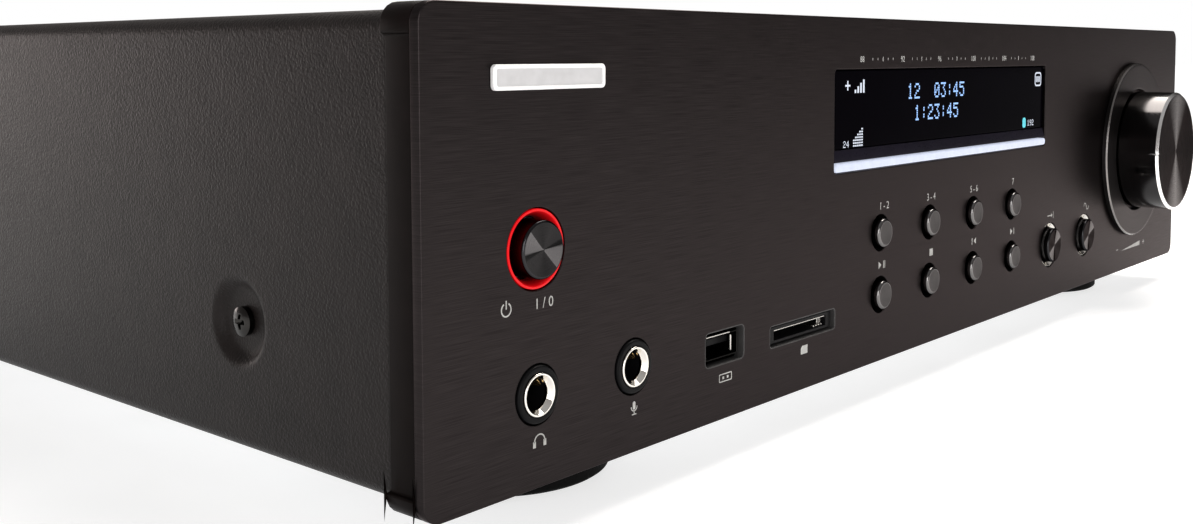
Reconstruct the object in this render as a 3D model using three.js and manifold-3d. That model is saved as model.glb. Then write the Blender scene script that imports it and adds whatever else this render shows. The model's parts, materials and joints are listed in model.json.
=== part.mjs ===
// A stereo receiver: a bent steel case with an aluminium front plate, its controls, and what it holds inside.
// Millimetres, +Z up. The front plate faces -Y, and +X is to the right of someone facing it.
// The origin is on the surface the receiver stands on, at the centre of its overall box.
import * as THREE from "three";
import { mergeVertices } from "three/addons/utils/BufferGeometryUtils.js";
import Module from "manifold-3d";

const wasm = await Module();
wasm.setup();

// ---- Driving dimensions ----

// Overall
const plateWidth = 430;
const plateHeight = 96.3;
const caseDepth = 310; // front face of the plate to the rear edge of the cover
const standHeight = 10.7; // surface to the lower edge of the plate

// Clearances
const gap = 0.3; // between neighbours that are cut to fit each other
const seat = 0.1; // between flat faces that meet

// Front plate and the moulded frame behind it
const plateThickness = 2.5;
const plateCorner = 4.2;
const frameThickness = 8.2;
const frameInset = 1.2; // how far the frame's sides stand in from the plate's
const frameFootHeight = 4.7; // full-width part of the frame at the bottom
const frameCapHeight = 6; // and at the top
const frameHoleGrow = 1.2; // the frame's holes are this much larger all round than the plate's

// Sheet metal
const coverInset = 1.8; // plate's end to the cover's side
const coverDrop = 1.3; // plate's top to the cover's top
const coverRise = 2.1; // plate's lower edge to the cover's
const coverSheet = 1;
const coverBend = 4;
const coverFootBend = 3;
const coverLip = 8;
const chassisSheet = 1.2;
const chassisWallHeight = 38;
const rearSheet = 1.2;
const rearRecess = 1;

// Cover screws in their pressed dimples
const dimpleRadius = 10;
const dimpleFloorRadius = 6.5;
const dimpleDepth = 2.1;
const screwFromEnd = 61; // front face of the plate, or rear edge of the cover, to a screw
const screwRise = 29.8; // plate's lower edge to a screw
const screwHeadRadius = 3.2;
const screwHeadHeight = 2;
const screwHeadTaper = 0.8;
const screwRadius = 1.5;
const screwLength = 9;
const crossWidth = 0.9;
const crossLength = 3.4;
const crossDepth = 1.1;

// Vents
const ventWidth = 3;
const ventLength = 62;
const ventPitch = 9;
const ventCount = 9;

// Feet
const footRadius = 26;
const footTaper = 3;
const footInset = 58; // plate's end to a foot's axis
const footFromEnd = 39.5; // front face, or rear edge, to a foot's axis
const footPadInset = 8;
const footPadHeight = 2;

// Standby button and its light ring: radii from the cap outwards
const standbyCap = 5.9;
const standbyCapGap = 0.6;
const standbyRingBand = 1.8;
const standbyRingDepth = 4;
const standbyReach = 2;

// Function buttons: four across, two rows
const keyCap = 4.1;
const keyCapGap = 1.1;
const keyReach = 1.8;
const keyColumns = 4;
const keyRows = 2;

// Source and mode buttons in chromed rings
const selectorCap = 6;
const selectorCapGap = 0.6;
const selectorRingBand = 1.3;
const selectorRingDepth = 3;
const selectorReach = 2;

// What all push buttons share
const capEdge = 0.6; // rounding of a cap's edge
const flangeOver = 0.5; // a flange is this much wider than the hole that holds it back
const flangeThickness = 1;
const stemRadius = 2;
const buttonTravel = 1.2;
const switchHeight = 1.4;
const switchSide = 6;
const switchPlane = 13; // front face of the plate to the key board

// Volume knob, the disc round it, and the encoder
const knobRadius = 23.1;
const wellGap = 1.2; // knob to the edge of the well that it stands in
const discBand = 10.2;
const discThickness = 2;
const discBevel = 0.5;
const knobReach = 17;
const knobChamfer = 0.9;
const knobBack = 1.2; // plate to the knob's back
const knobWall = 4; // front of the knob to the end of its bore
const shaftRadius = 3;
const bushingWall = 1.4;
const encoderSide = 14;
const encoderDepth = 7;

// Headphone and microphone jacks
const jackBore = 3.175;
const jackRingBand = 1.225;
const jackNoseWall = 1.4;
const jackReach = 0.5;
const jackRingDepth = 1.6;
const jackBodyWidth = 15;
const jackBodyHeight = 14;
const jackBodyDepth = 19;

// USB and card sockets
const usbShell = { width: 13.2, height: 5.8, wall: 0.4, depth: 18 };
const usbTongue = { width: 11, height: 1.9, drop: 0.7 };
const usbMargin = { across: 1.15, up: 1.05, corner: 1.2 }; // socket to its opening in the plate
const cardBody = { width: 29.4, height: 4.4, depth: 30 };
const cardSlot = { width: 24.8, height: 2.6, depth: 27 };
const cardMargin = { across: 0.8, up: 0.4, corner: 0.8 };
const socketSetback = 1; // front face of the plate to a socket's mouth

// Display window with its sill and light bar
const windowOpening = { width: 142.5, height: 27.7, corner: 1.2 };
const lightBarHeight = 2.3;
const lightBarReach = 0.3;
const sillHeight = 3.2;
const glassSetback = 0.9;
const glassThickness = 1.4;
const displayDepth = 5;

// Badge
const badge = { width: 32.3, height: 5, thickness: 1, corner: 1 };

// Boards and what stands on them
const boardThickness = 1.6;
const pillarHeight = 8;
const pillarRadius = 4;
const pillarInset = 8; // a board's edge to its pillars
const mainBoard = { width: 196, depth: 150 };
const powerBoard = { width: 70, depth: 84 };
const chip = { width: 18, depth: 18, height: 2.4 };
const heatsink = { width: 42, depth: 130, height: 58, base: 5, fin: 1.6, fins: 8 };
const core = { height: 64, depth: 38, leg: 26, window: 15, limb: 14, yoke: 15 };
const windingThickness = 14;
const boardGap = 6; // between the heatsink and the board's edge, and from it to the capacitors
const canRadius = 14;
const canHeight = 42;
const tuner = { width: 44, depth: 58, height: 18, setback: 12, rise: 10 };

// Rear sockets
const inlet = { width: 20.5, height: 11, depth: 16, wall: 1.6, flange: 2.4, rim: 3.5 };
const inletPin = { radius: 1.2, pitch: 8.6 };
const aerialRadius = 4.7;
const aerialReach = 11;
const aerialBore = 1;
const lineSocket = { radius: 4.15, bore: 1.7, reach: 9, pitch: 14.5, columns: 4, rows: 2, margin: 9 };
const terminal = { post: 2.6, postReach: 12, radius: 7, reach: 18, base: 3, bore: 2.1 };
const terminalSpacing = { pitch: 19, stretch: 1.15, margin: 12 }; // stretch: pitch across over pitch up
const socketBlockDepth = 16;

// ---- Places worked out from them ----

const halfWidth = plateWidth / 2;
const coverHalf = halfWidth - coverInset;
const coverTop = standHeight + plateHeight - coverDrop;
const coverFoot = standHeight + coverRise;
const frameFront = plateThickness + seat;
const frameBack = frameFront + frameThickness;
const coverFront = frameBack + gap;
const chassisFloor = coverFoot + coverSheet + gap; // underside of the chassis
const chassisTop = chassisFloor + chassisSheet;
const chassisHalf = coverHalf - coverSheet - dimpleDepth - gap; // outside of the chassis's side walls
const rearBack = caseDepth - rearRecess;
const rearFront = rearBack - rearSheet;
const screwZ = standHeight + screwRise;
const boardZ = chassisTop + pillarHeight + seat; // underside of a board on its pillars
const boardTop = boardZ + boardThickness;
const screwRows = [screwFromEnd, caseDepth - screwFromEnd];

const standbyRingInner = standbyCap + standbyCapGap;
const standbyBore = standbyRingInner + standbyRingBand;
const keyBore = keyCap + keyCapGap;
const selectorRingInner = selectorCap + selectorCapGap;
const selectorBore = selectorRingInner + selectorRingBand;
const discWell = knobRadius + wellGap;
const discRadius = discWell + discBand;
const bushingRadius = shaftRadius + gap + bushingWall;
const jackRingRadius = jackBore + jackRingBand;
const jackNose = jackRingRadius + seat + jackNoseWall;

// Places on the front go by tenths of the standard width and by shares of the plate's height.
const acrossUnit = plateWidth / 43;
const across = (units) => units * acrossUnit - halfWidth;
const upPlate = (share) => standHeight + share * plateHeight;
const inDepth = (share) => share * caseDepth;

const lowRow = upPlate(0.1975);
const highRow = upPlate(0.3795);
const midHeight = upPlate(0.5);
const standbyX = across(3);
const headphoneX = across(3);
const microphoneX = across(6);
const usbX = across(9.425);
const usbZ = upPlate(0.181);
const cardX = across(12.91);
const cardZ = upPlate(0.167);
const keyX = (column) => across(16.93 + 2.99 * column);
const sourceX = across(29.23);
const modeX = across(32.53);
const knobX = across(37.7);
const windowX = across(21.5);
const windowZ = upPlate(0.7118);
const windowFloor = windowZ - windowOpening.height / 2;
const badgeX = across(3.37);
const badgeZ = upPlate(0.8526);

// ---- Geometry helpers ----

const smallRound = 18; // sides of a small round piece
const thinRound = 10; // sides of a pin or a narrow bore
const footRound = 26;
const largeRound = 48;

// A closed geometry as a manifold solid.
function toSolid(geometry) {
  const bare = geometry.clone();
  bare.deleteAttribute("normal");
  bare.deleteAttribute("uv");
  const merged = mergeVertices(bare, 1e-4);
  return new wasm.Manifold(
    new wasm.Mesh({
      numProp: 3,
      vertProperties: merged.attributes.position.array,
      triVerts: new Uint32Array(merged.index.array),
    }),
  );
}

// A manifold solid as a geometry.
function toGeometry(solid) {
  const mesh = solid.getMesh();
  const geometry = new THREE.BufferGeometry();
  geometry.setAttribute("position", new THREE.BufferAttribute(mesh.vertProperties, mesh.numProp));
  geometry.setIndex(new THREE.BufferAttribute(mesh.triVerts, 1));
  const faceted = geometry.toNonIndexed();
  faceted.computeVertexNormals();
  return faceted;
}

function join(first, ...others) {
  return toGeometry(others.reduce((whole, piece) => whole.add(toSolid(piece)), toSolid(first)));
}

function cut(first, ...tools) {
  return toGeometry(tools.reduce((whole, tool) => whole.subtract(toSolid(tool)), toSolid(first)));
}

// A box from its lowest to its highest corner.
function box(low, high) {
  const size = high.map((value, axis) => value - low[axis]);
  return new THREE.BoxGeometry(...size).translate(
    (low[0] + high[0]) / 2,
    (low[1] + high[1]) / 2,
    (low[2] + high[2]) / 2,
  );
}

// A box centred at x, z that runs in depth from front to back.
function bar(x, z, width, height, front, back) {
  return box([x - width / 2, front, z - height / 2], [x + width / 2, back, z + height / 2]);
}

// A round rod along Y.
function rodY(radius, front, back, x = 0, z = 0, sides = smallRound) {
  return new THREE.CylinderGeometry(radius, radius, back - front, sides).translate(
    x,
    (front + back) / 2,
    z,
  );
}

// A round rod along Z.
function rodZ(radius, low, high, x, y, sides = smallRound) {
  return new THREE.CylinderGeometry(radius, radius, high - low, sides)
    .rotateX(Math.PI / 2)
    .translate(x, y, (low + high) / 2);
}

// A cone frustum along X between two planes, with a radius at each.
function coneX(x0, radius0, x1, radius1, y, z) {
  return new THREE.CylinderGeometry(radius1, radius0, x1 - x0, smallRound)
    .rotateZ(-Math.PI / 2)
    .translate((x0 + x1) / 2, y, z);
}

// A profile of [radius, depth] points turned about the Y axis; listed so that the solid is on its left.
function turned(profile, sides = smallRound) {
  return new THREE.LatheGeometry(
    profile.map(([radius, depth]) => new THREE.Vector2(radius, depth)),
    sides,
  );
}

// A flat outline in X and Z given a thickness in depth, from front to back.
function sheetY(shape, front, back, curveSegments = 6) {
  return new THREE.ExtrudeGeometry(shape, { depth: back - front, bevelEnabled: false, curveSegments })
    .rotateX(Math.PI / 2)
    .translate(0, back, 0);
}

// A rectangle with round corners, as a shape or as a hole.
function roundedRectangle(path, x, z, width, height, corner) {
  const left = x - width / 2;
  const right = x + width / 2;
  const low = z - height / 2;
  const high = z + height / 2;
  path.moveTo(left + corner, low);
  path.lineTo(right - corner, low);
  path.absarc(right - corner, low + corner, corner, -Math.PI / 2, 0);
  path.lineTo(right, high - corner);
  path.absarc(right - corner, high - corner, corner, 0, Math.PI / 2);
  path.lineTo(left + corner, high);
  path.absarc(left + corner, high - corner, corner, Math.PI / 2, Math.PI);
  path.lineTo(left, low + corner);
  path.absarc(left + corner, low + corner, corner, Math.PI, Math.PI * 1.5);
  return path;
}

// ---- Materials ----

function material(color, roughness, metalness) {
  return new THREE.MeshStandardMaterial({ color, roughness, metalness });
}

const finish = {
  plate: material(0x2b2829, 0.4, 0.9),
  cap: material(0x1d1c1e, 0.3, 0.9),
  chrome: material(0xd8d4cc, 0.12, 1),
  powder: material(0x2c2928, 0.6, 0.1),
  zinc: material(0xa8abad, 0.4, 0.9),
  plastic: material(0x161515, 0.5, 0),
  glass: material(0x060509, 0.05, 0),
  lightGuide: material(0xe6e8fa, 0.3, 0),
  redLight: material(0xe00a14, 0.35, 0),
  rubber: material(0x1a1a1a, 0.85, 0),
  board: material(0x1f4a2c, 0.6, 0),
  aluminium: material(0xb7babd, 0.4, 0.9),
  core: material(0x5a5653, 0.5, 0.7),
  winding: material(0x9b5a2c, 0.5, 0.3),
  can: material(0x20222e, 0.4, 0),
  red: material(0xa01818, 0.4, 0),
  badge: material(0xa8a6a4, 0.3, 0.9),
};

const receiver = new THREE.Group();
const casework = new THREE.Group();
const front = new THREE.Group();
const inside = new THREE.Group();
const rear = new THREE.Group();
receiver.add(casework, front, inside, rear);

// Adds a named mesh to a group, at a place.
function place(group, name, geometry, finishOf, x = 0, y = 0, z = 0) {
  const mesh = new THREE.Mesh(geometry, finishOf);
  mesh.name = name;
  mesh.position.set(x, y, z);
  group.add(mesh);
}

// ---- Front plate and frame ----

const keys = [
  ["band_button", "memory_button", "tuning_down_button", "tuning_up_button"],
  ["play_button", "stop_button", "skip_back_button", "skip_forward_button"],
];
const keyZ = [highRow, lowRow];

const roundOpenings = [
  { x: standbyX, z: midHeight, radius: standbyBore },
  { x: headphoneX, z: lowRow, radius: jackNose + gap },
  { x: microphoneX, z: lowRow, radius: jackNose + gap },
  { x: sourceX, z: lowRow, radius: selectorBore },
  { x: modeX, z: lowRow, radius: selectorBore },
  { x: knobX, z: midHeight, radius: bushingRadius + gap },
];
for (let row = 0; row < keyRows; row++)
  for (let column = 0; column < keyColumns; column++)
    roundOpenings.push({ x: keyX(column), z: keyZ[row], radius: keyBore });

// The opening that a socket needs in the plate.
function openingFor(socket, margin) {
  return {
    width: socket.width + 2 * margin.across,
    height: socket.height + 2 * margin.up,
    corner: margin.corner,
  };
}

const squareOpenings = [
  { x: windowX, z: windowZ, ...windowOpening },
  { x: usbX, z: usbZ, ...openingFor(usbShell, usbMargin) },
  { x: cardX, z: cardZ, ...openingFor(cardBody, cardMargin) },
];

// The plate's outline with every opening in it, each grown by the same amount all round.
function frontOutline(width, height, grow) {
  const shape = roundedRectangle(new THREE.Shape(), 0, midHeight, width, height, plateCorner);
  for (const { x, z, radius } of roundOpenings) {
    const hole = new THREE.Path();
    hole.absarc(x, z, radius + grow, 0, Math.PI * 2);
    shape.holes.push(hole);
  }
  for (const opening of squareOpenings) {
    const wide = opening.width + 2 * grow;
    const tall = opening.height + 2 * grow;
    const { x, z, corner } = opening;
    shape.holes.push(roundedRectangle(new THREE.Path(), x, z, wide, tall, corner));
  }
  return shape;
}

function frontPlate() {
  return sheetY(frontOutline(plateWidth, plateHeight, 0), 0, plateThickness, 10);
}

// The frame's sides stand in between its full-width cap and foot.
function frontFrame() {
  const lowEnd = standHeight + frameFootHeight;
  const highEnd = standHeight + plateHeight - frameCapHeight;
  const sideCuts = [-1, 1].map((side) =>
    bar(side * halfWidth, (lowEnd + highEnd) / 2, 2 * frameInset, highEnd - lowEnd, 0, frameBack + gap),
  );
  const body = sheetY(frontOutline(plateWidth, plateHeight, frameHoleGrow), frameFront, frameBack);
  return cut(body, ...sideCuts);
}

place(front, "front_plate", frontPlate(), finish.plate);
place(front, "front_frame", frontFrame(), finish.plastic);

// ---- Display ----

const windowInnerWidth = windowOpening.width - 2 * gap;
const lightBarTop = windowFloor + gap + lightBarHeight;
const sillTop = lightBarTop + gap + sillHeight;
const windowTop = windowZ + windowOpening.height / 2 - gap;

function displayWindow() {
  const height = windowTop - sillTop - gap;
  const { corner } = windowOpening;
  const outline = roundedRectangle(new THREE.Shape(), 0, height / 2, windowInnerWidth, height, corner);
  return sheetY(outline, 0, glassThickness);
}

// The sill slopes forwards from the glass down to the light bar.
function windowSill() {
  const profile = new THREE.Shape();
  profile.moveTo(0, 0);
  profile.lineTo(plateThickness, 0);
  profile.lineTo(plateThickness, sillHeight);
  profile.lineTo(glassSetback, sillHeight);
  profile.closePath();
  return new THREE.ExtrudeGeometry(profile, { depth: windowInnerWidth, bevelEnabled: false })
    .rotateX(Math.PI / 2)
    .rotateZ(Math.PI / 2)
    .translate(-windowInnerWidth / 2, 0, 0);
}

function lightBar() {
  const outline = roundedRectangle(
    new THREE.Shape(),
    0,
    lightBarHeight / 2,
    windowInnerWidth,
    lightBarHeight,
    lightBarHeight * 0.45,
  );
  return sheetY(outline, -lightBarReach, plateThickness);
}

function displayModule() {
  return bar(0, 0, windowOpening.width - 4, windowOpening.height - 4, 0, displayDepth);
}

place(front, "display_window", displayWindow(), finish.glass, windowX, glassSetback, sillTop + gap);
place(front, "window_sill", windowSill(), finish.plastic, windowX, 0, lightBarTop + gap);
place(front, "light_bar", lightBar(), finish.lightGuide, windowX, 0, windowFloor + gap);
place(front, "display_module", displayModule(), finish.glass, windowX, frameFront + gap, windowZ);

function badgePlate() {
  const outline = roundedRectangle(new THREE.Shape(), 0, 0, badge.width, badge.height, badge.corner);
  return sheetY(outline, -badge.thickness, 0, 4);
}

place(front, "badge_plate", badgePlate(), finish.badge, badgeX, -seat, badgeZ);

// ---- Push buttons ----

// A cap with a rounded edge, a flange that its hole holds back, and a stem to its switch.
function pushButton(capRadius, reach, flangeFront, flangeRadius) {
  const stemEnd = switchPlane - switchHeight - buttonTravel - gap;
  const flangeBack = flangeFront + flangeThickness;
  return turned([
    [0, -reach],
    [capRadius - capEdge, -reach],
    [capRadius, -reach + capEdge],
    [capRadius, flangeFront],
    [flangeRadius, flangeFront],
    [flangeRadius, flangeBack],
    [stemRadius, flangeBack],
    [stemRadius, stemEnd],
    [0, stemEnd],
  ]);
}

// A ring set in the plate: its inner wall slopes from the plate's face down to the cap.
function slopedRing(outer, inner, depth) {
  const radius = outer - gap;
  return turned([
    [inner, depth / 2],
    [radius, 0],
    [radius, depth],
    [inner, depth],
    [inner, depth / 2],
  ]);
}

const keyFlange = keyBore + flangeOver;
const keyFlangeFront = frameFront + gap;
for (let row = 0; row < keyRows; row++)
  for (let column = 0; column < keyColumns; column++) {
    const key = pushButton(keyCap, keyReach, keyFlangeFront, keyFlange);
    place(front, keys[row][column], key, finish.cap, keyX(column), 0, keyZ[row]);
  }

const standbyFlange = standbyRingInner + flangeOver;
const standby = pushButton(standbyCap, standbyReach, standbyRingDepth + gap, standbyFlange);
const standbyRing = slopedRing(standbyBore, standbyRingInner, standbyRingDepth);
place(front, "standby_button", standby, finish.cap, standbyX, 0, midHeight);
place(front, "standby_light_ring", standbyRing, finish.redLight, standbyX, 0, midHeight);

const selectorFlange = selectorRingInner + flangeOver;
for (const [name, x] of [
  ["source", sourceX],
  ["mode", modeX],
]) {
  const selector = pushButton(selectorCap, selectorReach, selectorRingDepth + gap, selectorFlange);
  const ring = slopedRing(selectorBore, selectorRingInner, selectorRingDepth);
  place(front, name + "_button", selector, finish.cap, x, 0, lowRow);
  place(front, name + "_ring", ring, finish.chrome, x, 0, lowRow);
}

// ---- Volume knob ----

function volumeKnob() {
  const boreRadius = shaftRadius + gap;
  return turned(
    [
      [0, -knobReach],
      [knobRadius - knobChamfer, -knobReach],
      [knobRadius, -knobReach + knobChamfer],
      [knobRadius, -knobBack],
      [boreRadius, -knobBack],
      [boreRadius, -knobReach + knobWall],
      [0, -knobReach + knobWall],
    ],
    largeRound,
  );
}

function volumeDisc() {
  return turned(
    [
      [discWell, -discThickness],
      [discRadius - discBevel, -discThickness],
      [discRadius, -discThickness + discBevel],
      [discRadius, -seat],
      [discWell, -seat],
      [discWell, -discThickness],
    ],
    largeRound,
  );
}

const encoderFront = frameBack + gap;

function encoderBody() {
  const back = encoderFront + encoderDepth;
  const body = bar(0, 0, encoderSide, encoderSide, encoderFront, back);
  const bushing = rodY(bushingRadius, gap, encoderFront + gap);
  return cut(join(body, bushing), rodY(shaftRadius + gap, -1, back + 1));
}

function encoderShaft() {
  return rodY(shaftRadius, -knobReach + knobWall + gap, encoderFront + encoderDepth - gap);
}

place(front, "volume_disc", volumeDisc(), finish.plate, knobX, 0, midHeight);
place(front, "volume_knob", volumeKnob(), finish.cap, knobX, 0, midHeight);
place(front, "encoder_body", encoderBody(), finish.zinc, knobX, 0, midHeight);
place(front, "encoder_shaft", encoderShaft(), finish.zinc, knobX, 0, midHeight);

// ---- Jacks and sockets ----

function jack() {
  const bodyFront = frameBack + gap;
  const bodyBack = bodyFront + jackBodyDepth;
  const body = bar(0, 0, jackBodyWidth, jackBodyHeight, bodyFront, bodyBack);
  const nose = rodY(jackNose, -jackReach, bodyFront + gap);
  const bore = rodY(jackBore, -jackReach - 1, bodyBack + 1);
  const seatForRing = rodY(jackRingRadius + seat, -jackReach - 1, -jackReach + jackRingDepth);
  return cut(join(body, nose), bore, seatForRing);
}

function jackRing() {
  const face = -jackReach - gap;
  const back = -jackReach + jackRingDepth - seat;
  return turned([
    [jackBore, face + gap],
    [jackBore + gap, face],
    [jackRingRadius - gap, face],
    [jackRingRadius, face + gap],
    [jackRingRadius, back],
    [jackBore, back],
    [jackBore, face + gap],
  ]);
}

for (const [name, x] of [
  ["headphone", headphoneX],
  ["microphone", microphoneX],
]) {
  place(front, name + "_jack", jack(), finish.plastic, x, 0, lowRow);
  place(front, name + "_jack_ring", jackRing(), finish.chrome, x, 0, lowRow);
}

function usbSocket() {
  const { width, height, wall, depth } = usbShell;
  const back = socketSetback + depth;
  const shell = cut(
    bar(0, 0, width, height, socketSetback, back),
    bar(0, 0, width - 2 * wall, height - 2 * wall, 0, back - 2),
  );
  const tongueZ = height / 2 - wall - usbTongue.drop - usbTongue.height / 2;
  return join(shell, bar(0, tongueZ, usbTongue.width, usbTongue.height, socketSetback + 1, back - 1));
}

function cardSocket() {
  const mouth = socketSetback;
  return cut(
    bar(0, 0, cardBody.width, cardBody.height, mouth, mouth + cardBody.depth),
    bar(0, 0, cardSlot.width, cardSlot.height, 0, mouth + cardSlot.depth),
  );
}

place(front, "usb_socket", usbSocket(), finish.chrome, usbX, 0, usbZ);
place(front, "card_socket", cardSocket(), finish.plastic, cardX, 0, cardZ);

// ---- Boards behind the front ----

// An upright board with a switch in front of it for each button axis.
function switchBoard(x0, x1, z0, z1, axes) {
  const board = box([x0, switchPlane, z0], [x1, switchPlane + boardThickness, z1]);
  const switches = axes.map(([x, z]) =>
    bar(x, z, switchSide, switchSide, switchPlane - switchHeight, switchPlane + seat),
  );
  return join(board, ...switches);
}

const boardMargin = 9;
const keyAxes = keys.flatMap((names, row) => names.map((_, column) => [keyX(column), keyZ[row]]));
const selectorAxes = [
  [sourceX, lowRow],
  [modeX, lowRow],
];
const keyBoard = switchBoard(
  keyX(0) - boardMargin,
  modeX + boardMargin,
  lowRow - boardMargin / 2,
  highRow + boardMargin / 2,
  [...keyAxes, ...selectorAxes],
);
const standbyBoard = switchBoard(
  standbyX - boardMargin,
  standbyX + boardMargin,
  midHeight - boardMargin,
  midHeight + boardMargin,
  [[standbyX, midHeight]],
);
place(front, "key_board", keyBoard, finish.board);
place(front, "standby_board", standbyBoard, finish.board);

// ---- Cover, chassis, rear panel and feet ----

// The bent section of the cover: up from the left lip, over the top, and down to the right lip.
function coverSection() {
  const shape = new THREE.Shape();
  const foot = coverFoot;
  const inner = coverHalf - coverSheet;
  const footCentre = foot + coverFootBend;
  const topCentre = coverTop - coverBend;
  const footIn = coverFootBend - coverSheet;
  const topIn = coverBend - coverSheet;
  const quarter = Math.PI / 2;
  shape.moveTo(-coverHalf + coverLip, foot);
  shape.lineTo(-coverHalf + coverLip, foot + coverSheet);
  shape.lineTo(-inner + footIn, foot + coverSheet);
  shape.absarc(-inner + footIn, footCentre, footIn, -quarter, -2 * quarter, true);
  shape.lineTo(-inner, topCentre);
  shape.absarc(-inner + topIn, topCentre, topIn, 2 * quarter, quarter, true);
  shape.lineTo(inner - topIn, coverTop - coverSheet);
  shape.absarc(inner - topIn, topCentre, topIn, quarter, 0, true);
  shape.lineTo(inner, footCentre);
  shape.absarc(inner - footIn, footCentre, footIn, 0, -quarter, true);
  shape.lineTo(coverHalf - coverLip, foot + coverSheet);
  shape.lineTo(coverHalf - coverLip, foot);
  shape.lineTo(coverHalf - coverFootBend, foot);
  shape.absarc(coverHalf - coverFootBend, footCentre, coverFootBend, -quarter, 0);
  shape.lineTo(coverHalf, topCentre);
  shape.absarc(coverHalf - coverBend, topCentre, coverBend, 0, quarter);
  shape.lineTo(-coverHalf + coverBend, coverTop);
  shape.absarc(-coverHalf + coverBend, topCentre, coverBend, quarter, 2 * quarter);
  shape.lineTo(-coverHalf, footCentre);
  shape.absarc(-coverHalf + coverFootBend, footCentre, coverFootBend, 2 * quarter, 3 * quarter);
  return shape;
}

// A cone along X that narrows inwards from one side of the case, whichever side that is.
function inwardCone(side, from, radiusFrom, to, radiusTo, y) {
  return side < 0
    ? coneX(-from, radiusFrom, -to, radiusTo, y, screwZ)
    : coneX(to, radiusTo, from, radiusFrom, y, screwZ);
}

// The dimple's metal keeps the sheet's thickness behind the pressed hollow.
function topCover() {
  let cover = sheetY(coverSection(), coverFront, caseDepth, 3);
  const floorX = coverHalf - dimpleDepth;
  for (const side of [-1, 1])
    for (const y of screwRows) {
      const inner = coverHalf - coverSheet / 2;
      const back = floorX - coverSheet;
      const boss = inwardCone(side, inner, dimpleRadius, back, dimpleFloorRadius + coverSheet / 2, y);
      const slope = (dimpleRadius - dimpleFloorRadius) / dimpleDepth;
      const mouth = dimpleRadius + slope;
      const hollow = inwardCone(side, coverHalf + 1, mouth, floorX, dimpleFloorRadius, y);
      const hole = inwardCone(side, coverHalf, screwRadius + gap, back - 1, screwRadius + gap, y);
      cover = cut(join(cover, boss), hollow, hole);
    }
  return cut(cover, ...ventTools(coverTop - coverSheet - 1, coverTop + 1));
}

// Two fields of slots, left and right of the middle.
function ventTools(low, high) {
  const tools = [];
  for (const side of [-1, 1])
    for (let slot = 0; slot < ventCount; slot++) {
      const x = side * (plateWidth / 4);
      const y = inDepth(0.55) + (slot - (ventCount - 1) / 2) * ventPitch;
      tools.push(
        box([x - ventLength / 2, y - ventWidth / 2, low], [x + ventLength / 2, y + ventWidth / 2, high]),
      );
    }
  return tools;
}

// Where each horizontal board stands: centre and size.
const mainBoardAt = { x: across(30.5), y: inDepth(0.6), ...mainBoard };
const powerBoardAt = { x: across(5.2), y: inDepth(0.8), ...powerBoard };

function pillars({ x, y, width, depth }) {
  const out = [];
  for (const sideX of [-1, 1])
    for (const sideY of [-1, 1]) {
      const px = x + sideX * (width / 2 - pillarInset);
      const py = y + sideY * (depth / 2 - pillarInset);
      out.push(rodZ(pillarRadius, chassisTop - seat, chassisTop + pillarHeight, px, py, thinRound));
    }
  return out;
}

function bottomChassis() {
  const chassisFront = coverFront + gap;
  const chassisBack = rearFront - gap;
  const floor = box([-chassisHalf, chassisFront, chassisFloor], [chassisHalf, chassisBack, chassisTop]);
  const walls = [-1, 1].map((side) => {
    const inner = chassisHalf - chassisSheet;
    const xs = side < 0 ? [-chassisHalf, -inner] : [inner, chassisHalf];
    return box([xs[0], chassisFront, chassisFloor], [xs[1], chassisBack, chassisTop + chassisWallHeight]);
  });
  const holes = [];
  for (const side of [-1, 1])
    for (const y of screwRows)
      holes.push(
        inwardCone(side, chassisHalf + 1, screwRadius + gap, chassisHalf - 3, screwRadius + gap, y),
      );
  const tray = join(floor, ...walls, ...pillars(mainBoardAt), ...pillars(powerBoardAt));
  return cut(tray, ...holes, ...ventTools(chassisFloor - 1, chassisTop + 1));
}

place(casework, "top_cover", topCover(), finish.powder);
place(casework, "bottom_chassis", bottomChassis(), finish.zinc);

// A pan-head screw along X with a cross recess; its head sits on the dimple's floor.
function coverScrew(side) {
  const seatX = coverHalf - dimpleDepth + seat;
  const headX = seatX + screwHeadHeight;
  const edge = screwHeadRadius - screwHeadTaper;
  const head = inwardCone(side, headX, edge, seatX, screwHeadRadius, 0);
  const shank = inwardCone(side, seatX + seat, screwRadius, seatX - screwLength, screwRadius, 0);
  const recess = [
    [crossLength, crossWidth],
    [crossWidth, crossLength],
  ].map(([deep, high]) => {
    const xs = [side * (headX - crossDepth), side * (headX + 1)].sort((a, b) => a - b);
    return box([xs[0], -deep / 2, screwZ - high / 2], [xs[1], deep / 2, screwZ + high / 2]);
  });
  return cut(join(head, shank), ...recess);
}

for (const [sideName, side] of [
  ["left", -1],
  ["right", 1],
])
  for (const [endName, y] of [
    ["front", screwRows[0]],
    ["rear", screwRows[1]],
  ])
    place(casework, `cover_screw_${endName}_${sideName}`, coverScrew(side), finish.cap, 0, y);

// A tapered foot with a softer pad standing slightly proud of its rim.
function foot() {
  const height = chassisFloor - seat;
  const footPadRadius = footRadius - footPadInset;
  const footTopRadius = footRadius - footTaper;
  return new THREE.LatheGeometry(
    [
      [0, 0],
      [footPadRadius, 0],
      [footPadRadius, footPadHeight / 2],
      [footTopRadius, footPadHeight / 2],
      [footRadius, footPadHeight],
      [footRadius, height * 0.6],
      [footTopRadius, height],
      [0, height],
    ].map(([radius, z]) => new THREE.Vector2(radius, z)),
    footRound,
  ).rotateX(Math.PI / 2);
}

for (const [sideName, side] of [
  ["left", -1],
  ["right", 1],
])
  for (const [endName, y] of [
    ["front", footFromEnd],
    ["rear", caseDepth - footFromEnd],
  ])
    place(
      casework,
      `foot_${endName}_${sideName}`,
      foot(),
      finish.rubber,
      side * (halfWidth - footInset),
      y,
    );

// ---- Inside ----

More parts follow.
